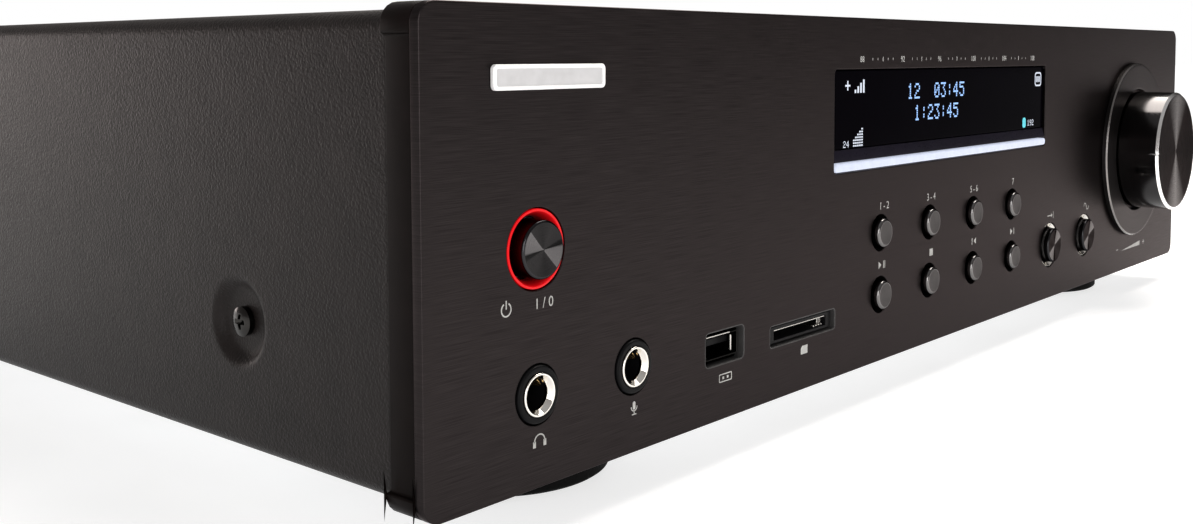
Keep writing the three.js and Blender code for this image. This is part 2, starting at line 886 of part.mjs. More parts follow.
// A board with chips on it, centred in X and Y, its underside at zero.
function horizontalBoard(width, depth, chips) {
  const board = box([-width / 2, -depth / 2, 0], [width / 2, depth / 2, boardThickness]);
  const parts = chips.map(([x, y]) =>
    box(
      [x - chip.width / 2, y - chip.depth / 2, boardThickness - seat],
      [x + chip.width / 2, y + chip.depth / 2, boardThickness + chip.height],
    ),
  );
  return join(board, ...parts);
}

const mainChips = [
  [mainBoard.width * 0.3, mainBoard.depth * -0.3],
  [mainBoard.width * 0.1, mainBoard.depth * -0.35],
  [mainBoard.width * 0.3, mainBoard.depth * 0.05],
];
const mainBoardPiece = horizontalBoard(mainBoard.width, mainBoard.depth, mainChips);
place(inside, "main_board", mainBoardPiece, finish.board, mainBoardAt.x, mainBoardAt.y, boardZ);
const powerBoardPiece = horizontalBoard(powerBoard.width, powerBoard.depth, [[0, 0]]);
place(inside, "power_board", powerBoardPiece, finish.board, powerBoardAt.x, powerBoardAt.y, boardZ);

// A heatsink: an upright back with fins to its right, standing on the main board.
function heatsinkPiece() {
  const { width, depth, height, base, fin, fins } = heatsink;
  const back = box([-width / 2, -depth / 2, 0], [-width / 2 + base, depth / 2, height]);
  const pitch = (height - fin) / (fins - 1);
  const blades = Array.from({ length: fins }, (_, index) =>
    box(
      [-width / 2 + base / 2, -depth / 2, index * pitch],
      [width / 2, depth / 2, index * pitch + fin],
    ),
  );
  return join(back, ...blades);
}

const heatsinkX = mainBoardAt.x - mainBoard.width / 2 + heatsink.width / 2 + boardGap;
place(inside, "heatsink", heatsinkPiece(), finish.aluminium, heatsinkX, mainBoardAt.y, boardTop + seat);

// The transformer's core has a middle leg between two windows, and the winding goes round that leg.
function transformerCore() {
  const { height, depth, leg, window, limb, yoke } = core;
  const width = leg + 2 * window + 2 * limb;
  const low = chassisTop + seat;
  const blank = box([-width / 2, -depth / 2, low], [width / 2, depth / 2, low + height]);
  const windows = [-1, 1].map((side) => {
    const x = side * (leg / 2 + window / 2);
    return box([x - window / 2, -depth, low + yoke], [x + window / 2, depth, low + height - yoke]);
  });
  return cut(blank, ...windows);
}

function transformerWinding() {
  const { height, depth, leg, window, yoke } = core;
  const low = chassisTop + seat + yoke + gap;
  const high = chassisTop + seat + height - yoke - gap;
  const halfX = leg / 2 + window - gap;
  const halfY = depth / 2 + windingThickness;
  return cut(
    box([-halfX, -halfY, low], [halfX, halfY, high]),
    box([-leg / 2 - gap, -depth / 2 - gap, low - 1], [leg / 2 + gap, depth / 2 + gap, high + 1]),
  );
}

const transformerX = across(9.5);
const transformerY = inDepth(0.36);
place(inside, "transformer_core", transformerCore(), finish.core, transformerX, transformerY);
place(inside, "transformer_winding", transformerWinding(), finish.winding, transformerX, transformerY);

const canX = heatsinkX + heatsink.width / 2 + canRadius + boardGap;
for (const [index, side] of [-1, 1].entries()) {
  const y = mainBoardAt.y + side * (canRadius + 2);
  const can = rodZ(canRadius, boardTop + seat, boardTop + canHeight, 0, 0);
  place(inside, `reservoir_capacitor_${index + 1}`, can, finish.can, canX, y);
}

// ---- Rear sockets and panel ----

const rearZ = standHeight + plateHeight * 0.45;
const inletX = across(4.2);
const terminalX = across(14.5);
const lineX = across(29);
const aerialX = across(39);
const lineWidth = lineSocket.pitch * (lineSocket.columns - 1) + 2 * lineSocket.margin;
const lineHeight = lineSocket.pitch * (lineSocket.rows - 1) + 2 * lineSocket.margin;
const terminalAcross = terminalSpacing.pitch * terminalSpacing.stretch;
const terminalHeight = terminalSpacing.pitch + 2 * terminalSpacing.margin;
const terminalWidth = terminalAcross + 2 * terminalSpacing.margin;

const rearOpenings = [
  { x: inletX, z: rearZ, width: inlet.width + 2 * gap, height: inlet.height + 2 * gap },
  { x: terminalX, z: rearZ, width: terminalWidth + 2 * gap, height: terminalHeight + 2 * gap },
  { x: lineX, z: rearZ, width: lineWidth + 2 * gap, height: lineHeight + 2 * gap },
];

function rearPanel() {
  const half = coverHalf - coverSheet - gap;
  const low = coverFoot + coverSheet + gap;
  const high = coverTop - coverSheet - gap;
  const corner = coverBend;
  const height = high - low;
  const shape = roundedRectangle(new THREE.Shape(), 0, (low + high) / 2, 2 * half, height, corner);
  for (const { x, z, width, height: tall } of rearOpenings)
    shape.holes.push(roundedRectangle(new THREE.Path(), x, z, width, tall, 0.5));
  const aerialHole = new THREE.Path();
  aerialHole.absarc(aerialX, rearZ, aerialRadius + gap, 0, Math.PI * 2);
  shape.holes.push(aerialHole);
  return sheetY(shape, rearFront, rearBack, 8);
}

place(rear, "rear_panel", rearPanel(), finish.powder);

// A two-pin inlet: a cup open to the rear, with its flange inside the panel.
function mainsInlet() {
  const { width, height, depth, wall, flange, rim } = inlet;
  const face = rearBack + flange / 2;
  const bottom = face - depth;
  const cup = bar(0, 0, width, height, bottom, face);
  const flangeBack = rearFront - seat;
  const flangePiece = bar(0, 0, width + 2 * rim, height + 2 * rim, flangeBack - flange, flangeBack);
  const hollow = bar(0, 0, width - 2 * wall, height - 2 * wall, bottom + 2 * wall, face + 1);
  const pins = [-1, 1].map((side) =>
    rodY(inletPin.radius, bottom + wall, face - 3, (side * inletPin.pitch) / 2, 0, thinRound),
  );
  return join(cut(join(cup, flangePiece), hollow), ...pins);
}

function aerialSocket() {
  const body = bar(0, 0, 16, 16, rearFront - seat - 10, rearFront - seat);
  const barrel = rodY(aerialRadius, rearFront - seat - 2, rearBack + aerialReach);
  const bore = rodY(aerialBore, rearFront - 6, rearBack + aerialReach + 1, 0, 0, thinRound);
  return cut(join(body, barrel), bore);
}

function lineSocketBlock() {
  const { radius, bore, reach, pitch, columns, rows } = lineSocket;
  const face = rearBack + 1;
  const pieces = [];
  const bores = [];
  for (let row = 0; row < rows; row++)
    for (let column = 0; column < columns; column++) {
      const x = (column - (columns - 1) / 2) * pitch;
      const z = (row - (rows - 1) / 2) * pitch;
      pieces.push(rodY(radius, face - 1, face + reach, x, z, smallRound));
      bores.push(rodY(bore, face - 6, face + reach + 1, x, z, thinRound));
    }
  const block = bar(0, 0, lineWidth, lineHeight, face - socketBlockDepth, face);
  return cut(join(block, ...pieces), ...bores);
}

const terminalPlaces = [-1, 1].flatMap((column) =>
  [-1, 1].map((row) => [(column * terminalAcross) / 2, (row * terminalSpacing.pitch) / 2]),
);

function terminalBlock() {
  const face = rearBack + terminal.base;
  const block = bar(0, 0, terminalWidth, terminalHeight, face - socketBlockDepth, face);
  const posts = terminalPlaces.map(([x, z]) =>
    rodY(terminal.post, face - 1, face + terminal.postReach, x, z, thinRound),
  );
  return join(block, ...posts);
}

// A terminal cap turned about its post, with a plug bore in its end.
function terminalCap() {
  const face = rearBack + terminal.base + gap;
  const end = face + terminal.reach;
  const postBore = terminal.post + gap;
  const postEnd = face + terminal.postReach;
  return turned([
    [postBore, face],
    [terminal.radius, face],
    [terminal.radius, end - 1],
    [terminal.radius - 1, end],
    [terminal.bore, end],
    [terminal.bore, postEnd],
    [postBore, postEnd],
    [postBore, face],
  ]);
}

place(rear, "mains_inlet", mainsInlet(), finish.plastic, inletX, 0, rearZ);
place(rear, "aerial_socket", aerialSocket(), finish.chrome, aerialX, 0, rearZ);
place(rear, "line_socket_block", lineSocketBlock(), finish.plastic, lineX, 0, rearZ);
place(rear, "speaker_terminal_block", terminalBlock(), finish.plastic, terminalX, 0, rearZ);
const capNames = ["right_negative", "right_positive", "left_negative", "left_positive"];
terminalPlaces.forEach(([x, z], index) => {
  const name = `terminal_cap_${capNames[index]}`;
  const colour = capNames[index].endsWith("positive") ? finish.red : finish.plastic;
  place(rear, name, terminalCap(), colour, terminalX + x, 0, rearZ + z);
});

function tunerModule() {
  return box([-tuner.width / 2, -tuner.depth, 0], [tuner.width / 2, 0, tuner.height]);
}

const tunerX = Math.min(aerialX, coverHalf - coverLip - tuner.width / 2);
const tunerBack = rearFront - tuner.setback;
const tunerLow = rearZ + tuner.rise;
place(rear, "tuner_module", tunerModule(), finish.zinc, tunerX, tunerBack, tunerLow);

// ---- The whole, with its box centred on the origin ----

const rearReach = rearBack + terminal.base + gap + terminal.reach;
receiver.position.y = (knobReach - rearReach) / 2;

export default receiver;
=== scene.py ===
"""The looks of a stereo receiver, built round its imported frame.

Every size below is in millimetres, in the frame's own space: +Z up, the front plate facing -Y, and +X to
the right of someone facing it. make() turns them to metres. A shape is a profile carried round an axis,
an outline carried through a sheet's thickness, or heights over a grid, and each is worked out with whole
arrays.
"""

import json
import math

import bmesh
import bpy
import numpy as np
from mathutils import Matrix, Vector
from mathutils.geometry import tessellate_polygon


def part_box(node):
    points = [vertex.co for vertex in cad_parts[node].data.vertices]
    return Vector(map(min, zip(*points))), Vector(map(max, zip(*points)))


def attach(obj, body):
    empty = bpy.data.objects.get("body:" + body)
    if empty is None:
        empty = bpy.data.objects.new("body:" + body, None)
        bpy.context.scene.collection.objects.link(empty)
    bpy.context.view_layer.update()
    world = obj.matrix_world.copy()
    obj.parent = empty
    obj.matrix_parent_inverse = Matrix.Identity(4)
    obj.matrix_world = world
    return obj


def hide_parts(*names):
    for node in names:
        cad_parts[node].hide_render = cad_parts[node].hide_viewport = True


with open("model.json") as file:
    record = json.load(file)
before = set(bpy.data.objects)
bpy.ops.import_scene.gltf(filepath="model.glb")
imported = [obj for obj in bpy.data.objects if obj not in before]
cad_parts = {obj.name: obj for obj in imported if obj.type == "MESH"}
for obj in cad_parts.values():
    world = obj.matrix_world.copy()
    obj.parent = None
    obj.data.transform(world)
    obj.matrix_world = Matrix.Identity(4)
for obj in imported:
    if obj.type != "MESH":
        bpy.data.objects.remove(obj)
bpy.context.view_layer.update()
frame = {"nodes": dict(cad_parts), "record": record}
METRE = 1000.0  # millimetres in a metre
body_of = {node: body for body, nodes in frame["record"]["behaviour"]["bodies"].items() for node in nodes}


def span(node):
    """A node's lowest and highest corner, in millimetres."""
    low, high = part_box(node)
    return np.array(low) * METRE, np.array(high) * METRE


def axis_of(node):
    """The X and Z of a turned piece's axis, which is the middle of its box."""
    low, high = span(node)
    return (low[0] + high[0]) / 2, (low[2] + high[2]) / 2


def round_radius(node):
    """The largest radius of a piece turned about Y, from its height."""
    low, high = span(node)
    return (high[2] - low[2]) / 2


# ---- Sizes that the frame's boxes don't say ----

PLATE_CORNER = 4.2
FRAME_INSET = 1.2
FRAME_FOOT = 4.7
FRAME_CAP = 6.0
FRAME_HOLE_GROW = 1.2
STANDBY_CAP = 5.9
KEY_CAP = 4.1
SELECTOR_CAP = 6.0
KEY_GAP = 1.1
CAP_GAP = 0.6
FIT = 0.3
CAP_EDGE = 0.55
JACK_BORE = 3.175
JACK_RING = 4.4
JACK_NOSE = 5.9
JACK_CUP = 7.0
KNOB_CHAMFER = 0.9
DISC_BEVEL = 0.5
WELL_GAP = 1.2
BUSHING = 4.7
WINDOW_CORNER = 1.2
USB_MARGIN = (1.15, 1.05, 1.2)
CARD_MARGIN = (0.8, 0.4, 0.8)
CARD_SLOT = (24.8, 2.6)
DIMPLE = 10.0
DIMPLE_FLOOR = 6.5
DIMPLE_DEPTH = 2.1
COVER_BEND = 4.0
COVER_FOOT_BEND = 3.0
COVER_LIP = 8.0
COVER_SHEET = 1.0
COVER_EDGE = 0.4
PAD_RADIUS = 18.1
PAD_FIT = 0.3
PAD_FLAT = 17.2
PAD_RIDGE = 3.44
DIMPLE_MARGIN = 1.5
SLOT_MARGIN = 1.6
SLOT_LENGTH = 62.0
SLOT_WIDTH = 3.0
SLOT_PITCH = 9.0
SLOT_COUNT = 9
SLOTS_PLACE = 0.55  # share of the depth, from the plate to the cover's rear edge
STANDBY_FLANGE = 4.3
SELECTOR_FLANGE = 3.3
KEY_FLANGE = 2.9
PRINT_THICKNESS = 0.02
INLET_RIM = 3.5

plate_low, plate_high = span("front_plate")
FRONT = plate_low[1]
PLATE_X, PLATE_Z = (plate_low[0] + plate_high[0]) / 2, (plate_low[2] + plate_high[2]) / 2
PLATE_WIDTH, PLATE_HEIGHT = plate_high[0] - plate_low[0], plate_high[2] - plate_low[2]
KEYS = [
    ["band_button", "memory_button", "tuning_down_button", "tuning_up_button"],
    ["play_button", "stop_button", "skip_back_button", "skip_forward_button"],
]

# ---- Outlines and profiles ----


def smoothstep(t):
    """0 below 0, 1 above 1, and 3t^2 - 2t^3 between."""
    t = np.clip(t, 0.0, 1.0)
    return t * t * (3 - 2 * t)


def unit(v):
    return v / np.linalg.norm(v)


def rounded(corners, radii, steps=6, closed=False):
    """A polyline whose corners are arcs: each arc meets both sides at radius / tan(half angle) from its
    corner, and runs between them by spherical interpolation about its centre."""
    corners = np.asarray(corners, float)
    count = len(corners)
    radii = np.broadcast_to(radii, count)
    out = []
    for index in range(count):
        corner = corners[index]
        inside = closed or 0 < index < count - 1
        if not inside or radii[index] == 0:
            out.append(corner[None])
            continue
        a = unit(corners[index - 1] - corner)
        b = unit(corners[(index + 1) % count] - corner)
        angle = math.acos(float(np.clip(a @ b, -1, 1)))
        centre = corner + unit(a + b) * radii[index] / math.sin(angle / 2)
        start = corner + a * radii[index] / math.tan(angle / 2) - centre
        end = corner + b * radii[index] / math.tan(angle / 2) - centre
        sweep = math.pi - angle
        t = np.linspace(0, 1, steps + 1)[:, None]
        out.append(centre + (np.sin((1 - t) * sweep) * start + np.sin(t * sweep) * end) / math.sin(sweep))
    return np.concatenate(out)


def rectangle(x, z, width, height, corner=0.0, steps=6):
    """A rectangle with round corners, anticlockwise as X runs right and Z up."""
    w, h = width / 2, height / 2
    return rounded([[x - w, z - h], [x + w, z - h], [x + w, z + h], [x - w, z + h]], corner, steps, True)


def circle(x, z, radius, steps=72):
    """A circle, anticlockwise: (x + r cos a, z + r sin a)."""
    a = np.linspace(0, 2 * np.pi, steps, endpoint=False)
    return np.stack([x + radius * np.cos(a), z + radius * np.sin(a)], 1)


def inset(outline, by):
    """An anticlockwise outline moved inwards by a distance, each corner along its mitre."""
    ahead = np.roll(outline, -1, 0) - outline
    ahead = ahead / np.linalg.norm(ahead, axis=1, keepdims=True)
    normal = np.stack([-ahead[:, 1], ahead[:, 0]], 1)
    before = np.roll(normal, 1, 0)
    mitre = (normal + before) / (1 + np.sum(normal * before, 1, keepdims=True))
    return outline + mitre * by


# ---- Parts: points, faces and the number of their finish ----

SIDES = {
    "-Y": ((1, 0, 0), (0, 0, 1)),
    "+Y": ((-1, 0, 0), (0, 0, 1)),
    "-X": ((0, -1, 0), (0, 0, 1)),
    "+X": ((0, 1, 0), (0, 0, 1)),
    "-Z": ((1, 0, 0), (0, -1, 0)),
    "+Z": ((1, 0, 0), (0, 1, 0)),
}


def grid_faces(rows, columns, around):
    """Quads between neighbouring rows and columns of points; around joins the last column to the
    first."""
    last = columns if around else columns - 1
    i, j = np.meshgrid(np.arange(rows - 1), np.arange(last), indexing="ij")
    k = (j + 1) % columns
    return np.stack(
        [i * columns + j, i * columns + k, (i + 1) * columns + k, (i + 1) * columns + j], -1
    ).reshape(-1, 4)


def grid(points, around=False, kind=0):
    """A grid of points, rows by columns, as one part."""
    rows, columns = points.shape[:2]
    return [(points.reshape(-1, 3), grid_faces(rows, columns, around), kind)]


def lathe(centre, facing, profile, steps=96, kind=0, wave=None, angles=None):
    """A profile of (radius, reach) turned about an axis: centre + reach n + radius (u cos a + v sin a),
    where u, v and n are the sides and the direction that it faces. wave adds to the radius by (profile,
    angle)."""
    u, v = (np.array(side, float) for side in SIDES[facing])
    profile = np.asarray(profile, float)
    if angles is None:
        angles = np.linspace(0, 2 * np.pi, steps, endpoint=False)
    radius = np.repeat(profile[:, :1], len(angles), 1)
    if wave is not None:
        radius = radius + wave(profile, angles)
    ring = np.cos(angles)[:, None] * u + np.sin(angles)[:, None] * v
    points = np.asarray(centre, float) + profile[
        :, 1, None, None
    ] * np.cross(u, v) + radius[:, :, None] * ring
    return grid(points, True, kind)


def slab(outline, front, back, edge=0.2, holes=(), back_edge=0.0, kind=0, facing="-Y", arc=4):
    """A sheet with rounded edges. Each outline runs from the front face, a quarter circle of the edge's
    radius, straight through the thickness, and another quarter circle to the back face. The faces are
    filled between the outlines. A hole is (outline, edge), and may add its wall's finish. Front and back
    are distances along Y, or along X or Z by facing."""
    depth = abs(back - front)
    turn = np.linspace(0, np.pi / 2, arc + 1)
    parts, faces_front, faces_back = [], [], []
    for loop, radius, wall, sign in [
        (outline, edge, kind, 1), *[(*hole, kind)[:3] + (-1,) for hole in holes]
    ]:
        support = min(0.15, 0.5 * radius + 0.02)
        rows = [(radius + support, 0.0)] if radius else []
        rows += [
            (radius * (1 - math.sin(t)), radius * (1 - math.cos(t))) for t in turn
        ] if radius else [(0.0, 0.0)]
        if back_edge:
            rows += [(back_edge * (1 - math.cos(t)), depth - back_edge * (1 - math.sin(t))) for t in turn]
            rows += [(back_edge + support, depth)]
        else:
            rows += [(0.0, depth)]
        points = np.stack([lift(inset(loop, sign * by), front, back, at, facing) for by, at in rows])
        parts += grid(points, True, wall)
        faces_front.append(points[0])
        faces_back.append(points[-1])
    for loops in (faces_front, faces_back):
        parts.append(fill(loops, kind))
    return parts


def lift(flat, front, back, at, facing):
    """Flat (right, up) points at a depth behind the front, in the space of a sheet that faces that
    way."""
    along = front + at * (1 if back > front else -1)
    right, up = flat[:, 0], flat[:, 1]
    level = np.full(len(flat), along)
    order = {"Y": (right, level, up), "X": (level, right, up), "Z": (right, up, level)}
    return np.stack(order[facing[1]], 1)


def fill(loops, kind=0):
    """A flat face between closed outlines, as triangles."""
    triangles = tessellate_polygon([[Vector(p) for p in loop] for loop in loops])
    return np.concatenate(loops), np.array(triangles), kind


def block(low, high, edge=0.3, kind=0, facing="-Y", corner=None):
    """A box with rounded edges, as a slab through its depth."""
    low, high = np.asarray(low, float), np.asarray(high, float)
    depth, right, up = {"Y": (1, 0, 2), "X": (0, 1, 2), "Z": (2, 0, 1)}[facing[1]]
    centre, size = (low + high) / 2, high - low
    outline = rectangle(
        centre[right], centre[up], size[right], size[up], edge if corner is None else corner, 4
    )
    ends = (low[depth], high[depth]) if facing[0] == "-" else (high[depth], low[depth])
    return slab(outline, *ends, edge, back_edge=edge, kind=kind, facing=facing, arc=3)


# ---- From parts to a piece that rides on its body ----


def make(name, parts, finishes, nodes=(), body=None, crease=32, grain=None):
    """One piece from closed parts: their doubles are merged, faces turned outwards, and edges sharper
    than the crease angle kept sharp. grain gives each point its place across and along the finish's
    brushing."""
    starts = np.cumsum([0, *[len(points) for points, _, _ in parts]])
    faces = [face for (_, f, _), start in zip(parts, starts) for face in (np.asarray(f) + start).tolist()]
    kinds = np.concatenate([np.full(len(f), kind) for _, f, kind in parts])
    mesh = bpy.data.meshes.new(name)
    mesh.from_pydata((np.concatenate([p for p, _, _ in parts]) / METRE).tolist(), [], faces)
    mesh.polygons.foreach_set("material_index", kinds.astype(np.int32))
    work = bmesh.new()
    work.from_mesh(mesh)
    bmesh.ops.remove_doubles(work, verts=work.verts, dist=1e-6)
    bmesh.ops.recalc_face_normals(work, faces=work.faces)
    work.to_mesh(mesh)
    work.free()
    mesh.shade_smooth()
    mesh.set_sharp_from_angle(angle=math.radians(crease))
    for finish in finishes if isinstance(finishes, (list, tuple)) else [finishes]:
        mesh.materials.append(finish)
    if grain is not None:
        set_grain(mesh, grain)
    piece = bpy.data.objects.new(name, mesh)
    bpy.context.scene.collection.objects.link(piece)
    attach(piece, body or body_of[nodes[0] if nodes else "front_plate"])
    if nodes:
        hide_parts(*nodes)
    return piece


def set_grain(mesh, grain):
    """A UV map named grain. Straight brushing runs along X, so U is Z and V is X. Turned brushing runs
    round an axis, so U is radius less reach and V is the angle as a share of a turn; a face across the
    seam is mended."""
    count = len(mesh.vertices)
    place = np.empty(count * 3)
    mesh.vertices.foreach_get("co", place)
    place = place.reshape(-1, 3)
    if grain == "straight":
        across, along = place[:, 2], place[:, 0]
    else:
        centre, facing = grain
        u, v = (np.array(side, float) for side in SIDES[facing])
        off = place - np.asarray(centre, float) / METRE
        across = np.hypot(off @ u, off @ v) - off @ np.cross(u, v)
        along = np.arctan2(off @ v, off @ u) / (2 * np.pi)
    corner = np.empty(len(mesh.loops), np.int32)
    mesh.loops.foreach_get("vertex_index", corner)
    first = np.empty(len(mesh.polygons), np.int32)
    mesh.polygons.foreach_get("loop_start", first)
    uv = np.stack([across[corner], along[corner]], 1)
    if grain != "straight":
        size = np.diff(np.append(first, len(corner)))
        highest = np.repeat(np.maximum.reduceat(uv[:, 1], first), size)
        uv[:, 1] += highest - uv[:, 1] > 0.5
    mesh.uv_layers.new(name="grain").data.foreach_set("uv", uv.astype(np.float32).ravel())


# ---- Finishes ----


def node(tree, kind, inputs=None, **settings):
    """A shader node with its settings, and its inputs set or linked."""
    made = tree.nodes.new("ShaderNode" + kind)
    for key, value in settings.items():
        setattr(made, key, value)
    for key, value in (inputs or {}).items():
        if isinstance(value, bpy.types.NodeSocket):
            tree.links.new(value, made.inputs[key])
        else:
            made.inputs[key].default_value = value
    return made


def finish(name, colour, roughness=0.5, metallic=0.0, **fixed):
    """A material whose shader has these values, with its tree."""
    material = bpy.data.materials.new(name)
    material.use_nodes = True
    shader = material.node_tree.nodes["Principled BSDF"]
    values = {"Base Color": (*colour, 1), "Roughness": roughness, "Metallic": metallic}
    values.update({key.replace("_", " ").title(): value for key, value in fixed.items()})
    for key, value in values.items():
        shader.inputs[
            "IOR" if key == "Ior" else key.replace("Ior Level", "IOR Level")
        ].default_value = value
    return material, material.node_tree, shader


def noise(tree, cell, stretch=(1, 1, 1), detail=2.0, source="Object", rough=0.5):
    """Noise whose cells are about so many millimetres, drawn out by stretch along X, Y and Z."""
    place = node(tree, "UVMap", uv_map="grain").outputs[0] if source == "grain" else node(
        tree, "TexCoord"
    ).outputs[source]
    scale = [METRE / (cell * s) for s in stretch]
    mapping = node(tree, "Mapping", {"Vector": place, "Scale": scale})
    return node(
        tree,
        "TexNoise",
        {"Vector": mapping.outputs[0], "Scale": 1.0, "Detail": detail, "Roughness": rough},
    ).outputs["Fac"]


def ramp(tree, factor, stops):
    """A factor turned into a colour or grey by stops of (place, colour)."""
    made = node(tree, "ValToRGB", {"Fac": factor})
    elements = made.color_ramp.elements
    while len(elements) < len(stops):
        elements.new(0.5)
    for element, (at, colour) in zip(elements, stops):
        element.position = at
        element.color = (*colour, 1) if isinstance(colour, (tuple, list)) else (colour, colour, colour, 1)
    return made.outputs["Color"]


def times(colour, by):
    return tuple(min(1.0, part * by) for part in colour)


def vary(tree, shader, factor, colour, low=0.8, high=1.2, between=(0.3, 0.7)):
    """The base colour goes from low to high times itself as the factor rises."""
    out = ramp(tree, factor, [(between[0], times(colour, low)), (between[1], times(colour, high))])
    tree.links.new(out, shader.inputs["Base Color"])


def uneven(tree, shader, factor, low, high):
    """The roughness goes from low to high as the factor rises."""
    tree.links.new(ramp(tree, factor, [(0.3, low), (0.7, high)]), shader.inputs["Roughness"])


def raised(tree, shader, height, depth, strength=1.0):
    """A bump of so many millimetres from a height."""
    made = node(tree, "Bump", {"Height": height, "Distance": depth / METRE, "Strength": strength})
    tree.links.new(made.outputs[0], shader.inputs["Normal"])


def brushed(
    name,
    colour,
    roughness,
    grooves,
    depth,
    anisotropy,
    spread=0.25,
    round_grooves=False,
    painted_highlight_sectors=None,
    **fixed,
):
    """Metal with fine grooves: long noise along the brushing, or rings by distance across it, for colour,
    roughness and bump, and a highlight drawn out across the grooves. The sector pair is the angle in
    degrees at which its stops of (place, shade) start; they run twice round the axis and multiply the
    base colour, a painted highlight and painted shade in the light and dark wedges that lamps make on a
    spun face."""
    material, tree, shader = finish(name, colour, roughness, 1.0, anisotropic=anisotropy, **fixed)
    tangent = node(tree, "Tangent", direction_type="UV_MAP", uv_map="grain")
    tree.links.new(tangent.outputs[0], shader.inputs["Tangent"])
    if round_grooves:
        lines = noise(tree, grooves, (1, METRE, 1), 3, "grain")
    else:
        lines = noise(tree, grooves, (70, 70, 1), 3)
    vary(tree, shader, lines, colour, 1 - spread, 1 + spread)
    uneven(tree, shader, lines, roughness * 0.85, roughness * 1.2)
    raised(tree, shader, lines, depth, 0.6)
    # Painted highlight and painted shade: light and dark wedges by angle round the axis, multiplied into
    # the base colour.
    if painted_highlight_sectors:
        start, stops = painted_highlight_sectors
        turn = node(tree, "SeparateXYZ", {0: node(tree, "UVMap", uv_map="grain").outputs[0]}).outputs["Y"]
        place = node(tree, "Math", {0: turn, 1: 2.0, 2: 2 - start / 180}, operation="MULTIPLY_ADD")
        wedge = ramp(tree, node(tree, "Math", {0: place.outputs[0]}, operation="FRACT").outputs[0], stops)
        shade = shader.inputs["Base Color"].links[0].from_socket
        both = node(
            tree, "Mix", {"Factor": 1.0, 6: shade, 7: wedge}, data_type="RGBA", blend_type="MULTIPLY"
        )
        tree.links.new(both.outputs[2], shader.inputs["Base Color"])
    return material


def grained(name, colour, roughness, cell, depth, metallic=0.0, spread=0.15, **fixed):
    """A moulded, coated or cast surface: cells of about one size for bump, and slow patches for the
    colour."""
    material, tree, shader = finish(name, colour, roughness, metallic, **fixed)
    fine = noise(tree, cell, detail=2)
    vary(tree, shader, noise(tree, cell * 14, detail=3), colour, 1 - spread, 1 + spread)
    uneven(tree, shader, fine, roughness * 0.88, min(1.0, roughness * 1.12))
    raised(tree, shader, fine, depth)
    return material


def glowing(name, colour, strength, cell=2.0, spread=0.12, painted_shade_depths=None):
    """A lit part: its own colour, slightly uneven, over a soft plastic surface. The depth pair, when
    given, is the pair of depths along Y over which the glow fades out, a painted shade that darkens the
    part deeper in its recess."""
    material, tree, shader = finish(name, times(colour, 0.3), 0.35, specular_ior_level=0.2)
    shader.inputs["Emission Strength"].default_value = strength
    glow = ramp(tree, noise(tree, cell), [(0.3, times(colour, 1 - spread)), (0.7, colour)])
    # Painted shade: the glow is faded out with depth along Y, so the part is darker deeper in its recess.
    if painted_shade_depths:
        depth = node(tree, "SeparateXYZ", {0: node(tree, "TexCoord").outputs["Object"]}).outputs["Y"]
        start, end = (value / METRE for value in painted_shade_depths)
        share = node(tree, "MapRange", {"Value": depth, "From Min": start, "From Max": end}).outputs[0]
        painted_shade_fade = ramp(tree, share, [(0.05, 1.0), (0.25, 0.4), (0.6, 0.12), (1.0, 0.02)])
        glow = node(
            tree, "Mix", {"Factor": 1.0, 6: glow, 7: painted_shade_fade}, data_type="RGBA", blend_type="MULTIPLY"
        ).outputs[2]
    tree.links.new(glow, shader.inputs["Emission Color"])
    return material


def circuit_board(name, colour):
    """Green lacquer over copper: square-cell noise stands for tracks, and small cells for solder and
    legend."""
    material, tree, shader = finish(name, colour, 0.4)
    place = node(tree, "TexCoord").outputs["Object"]
    mapping = node(tree, "Mapping", {"Vector": place, "Scale": (METRE / 3, METRE / 3, METRE / 3)})
    tracks = node(tree, "TexVoronoi", {"Vector": mapping.outputs[0], "Scale": 1.0}, distance="MANHATTAN")
    shade = ramp(tree, tracks.outputs["Distance"], [(0.25, times(colour, 1.9)), (0.4, colour)])
    tree.links.new(shade, shader.inputs["Base Color"])
    raised(tree, shader, tracks.outputs["Distance"], 0.05)
    return material


def laminated(name, colour):
    """A stack of thin steel sheets: fine stripes along Y."""
    material, tree, shader = finish(name, colour, 0.5, 0.8)
    stripes = noise(tree, 0.6, (60, 1, 60), 1)
    vary(tree, shader, stripes, colour, 0.6, 1.3, (0.4, 0.6))
    raised(tree, shader, stripes, 0.1)
    return material


def wound(name, colour):
    """Lacquered wire under tape: fine level turns, with slow patches."""
    material, tree, shader = finish(name, colour, 0.35, 0.4)
    turns = noise(tree, 0.8, (50, 50, 1), 1)
    vary(tree, shader, turns, colour, 0.6, 1.35, (0.35, 0.65))
    raised(tree, shader, turns, 0.2)
    return material


def spangled(name, colour):
    """Zinc-plated sheet: large crystals that differ slightly in shade and gloss."""
    material, tree, shader = finish(name, colour, 0.35, 0.9)
    place = node(tree, "TexCoord").outputs["Object"]
    mapping = node(tree, "Mapping", {"Vector": place, "Scale": (METRE / 7, METRE / 7, METRE / 7)})
    cells = node(tree, "TexVoronoi", {"Vector": mapping.outputs[0], "Scale": 1.0})
    grey = node(tree, "RGBToBW", {"Color": cells.outputs["Color"]}).outputs[0]
    vary(tree, shader, grey, colour, 0.8, 1.15, (0.2, 0.8))
    uneven(tree, shader, grey, 0.28, 0.45)
    return material


def glossy_glass(name, colour):
    """Smoked glass over a dark panel, with a faint haze of handling."""
    material, tree, shader = finish(name, colour, 0.06, specular_ior_level=0.002)
    haze = noise(tree, 25, detail=4)
    uneven(tree, shader, haze, 0.05, 0.1)
    vary(tree, shader, haze, colour, 0.8, 1.2)
    return material
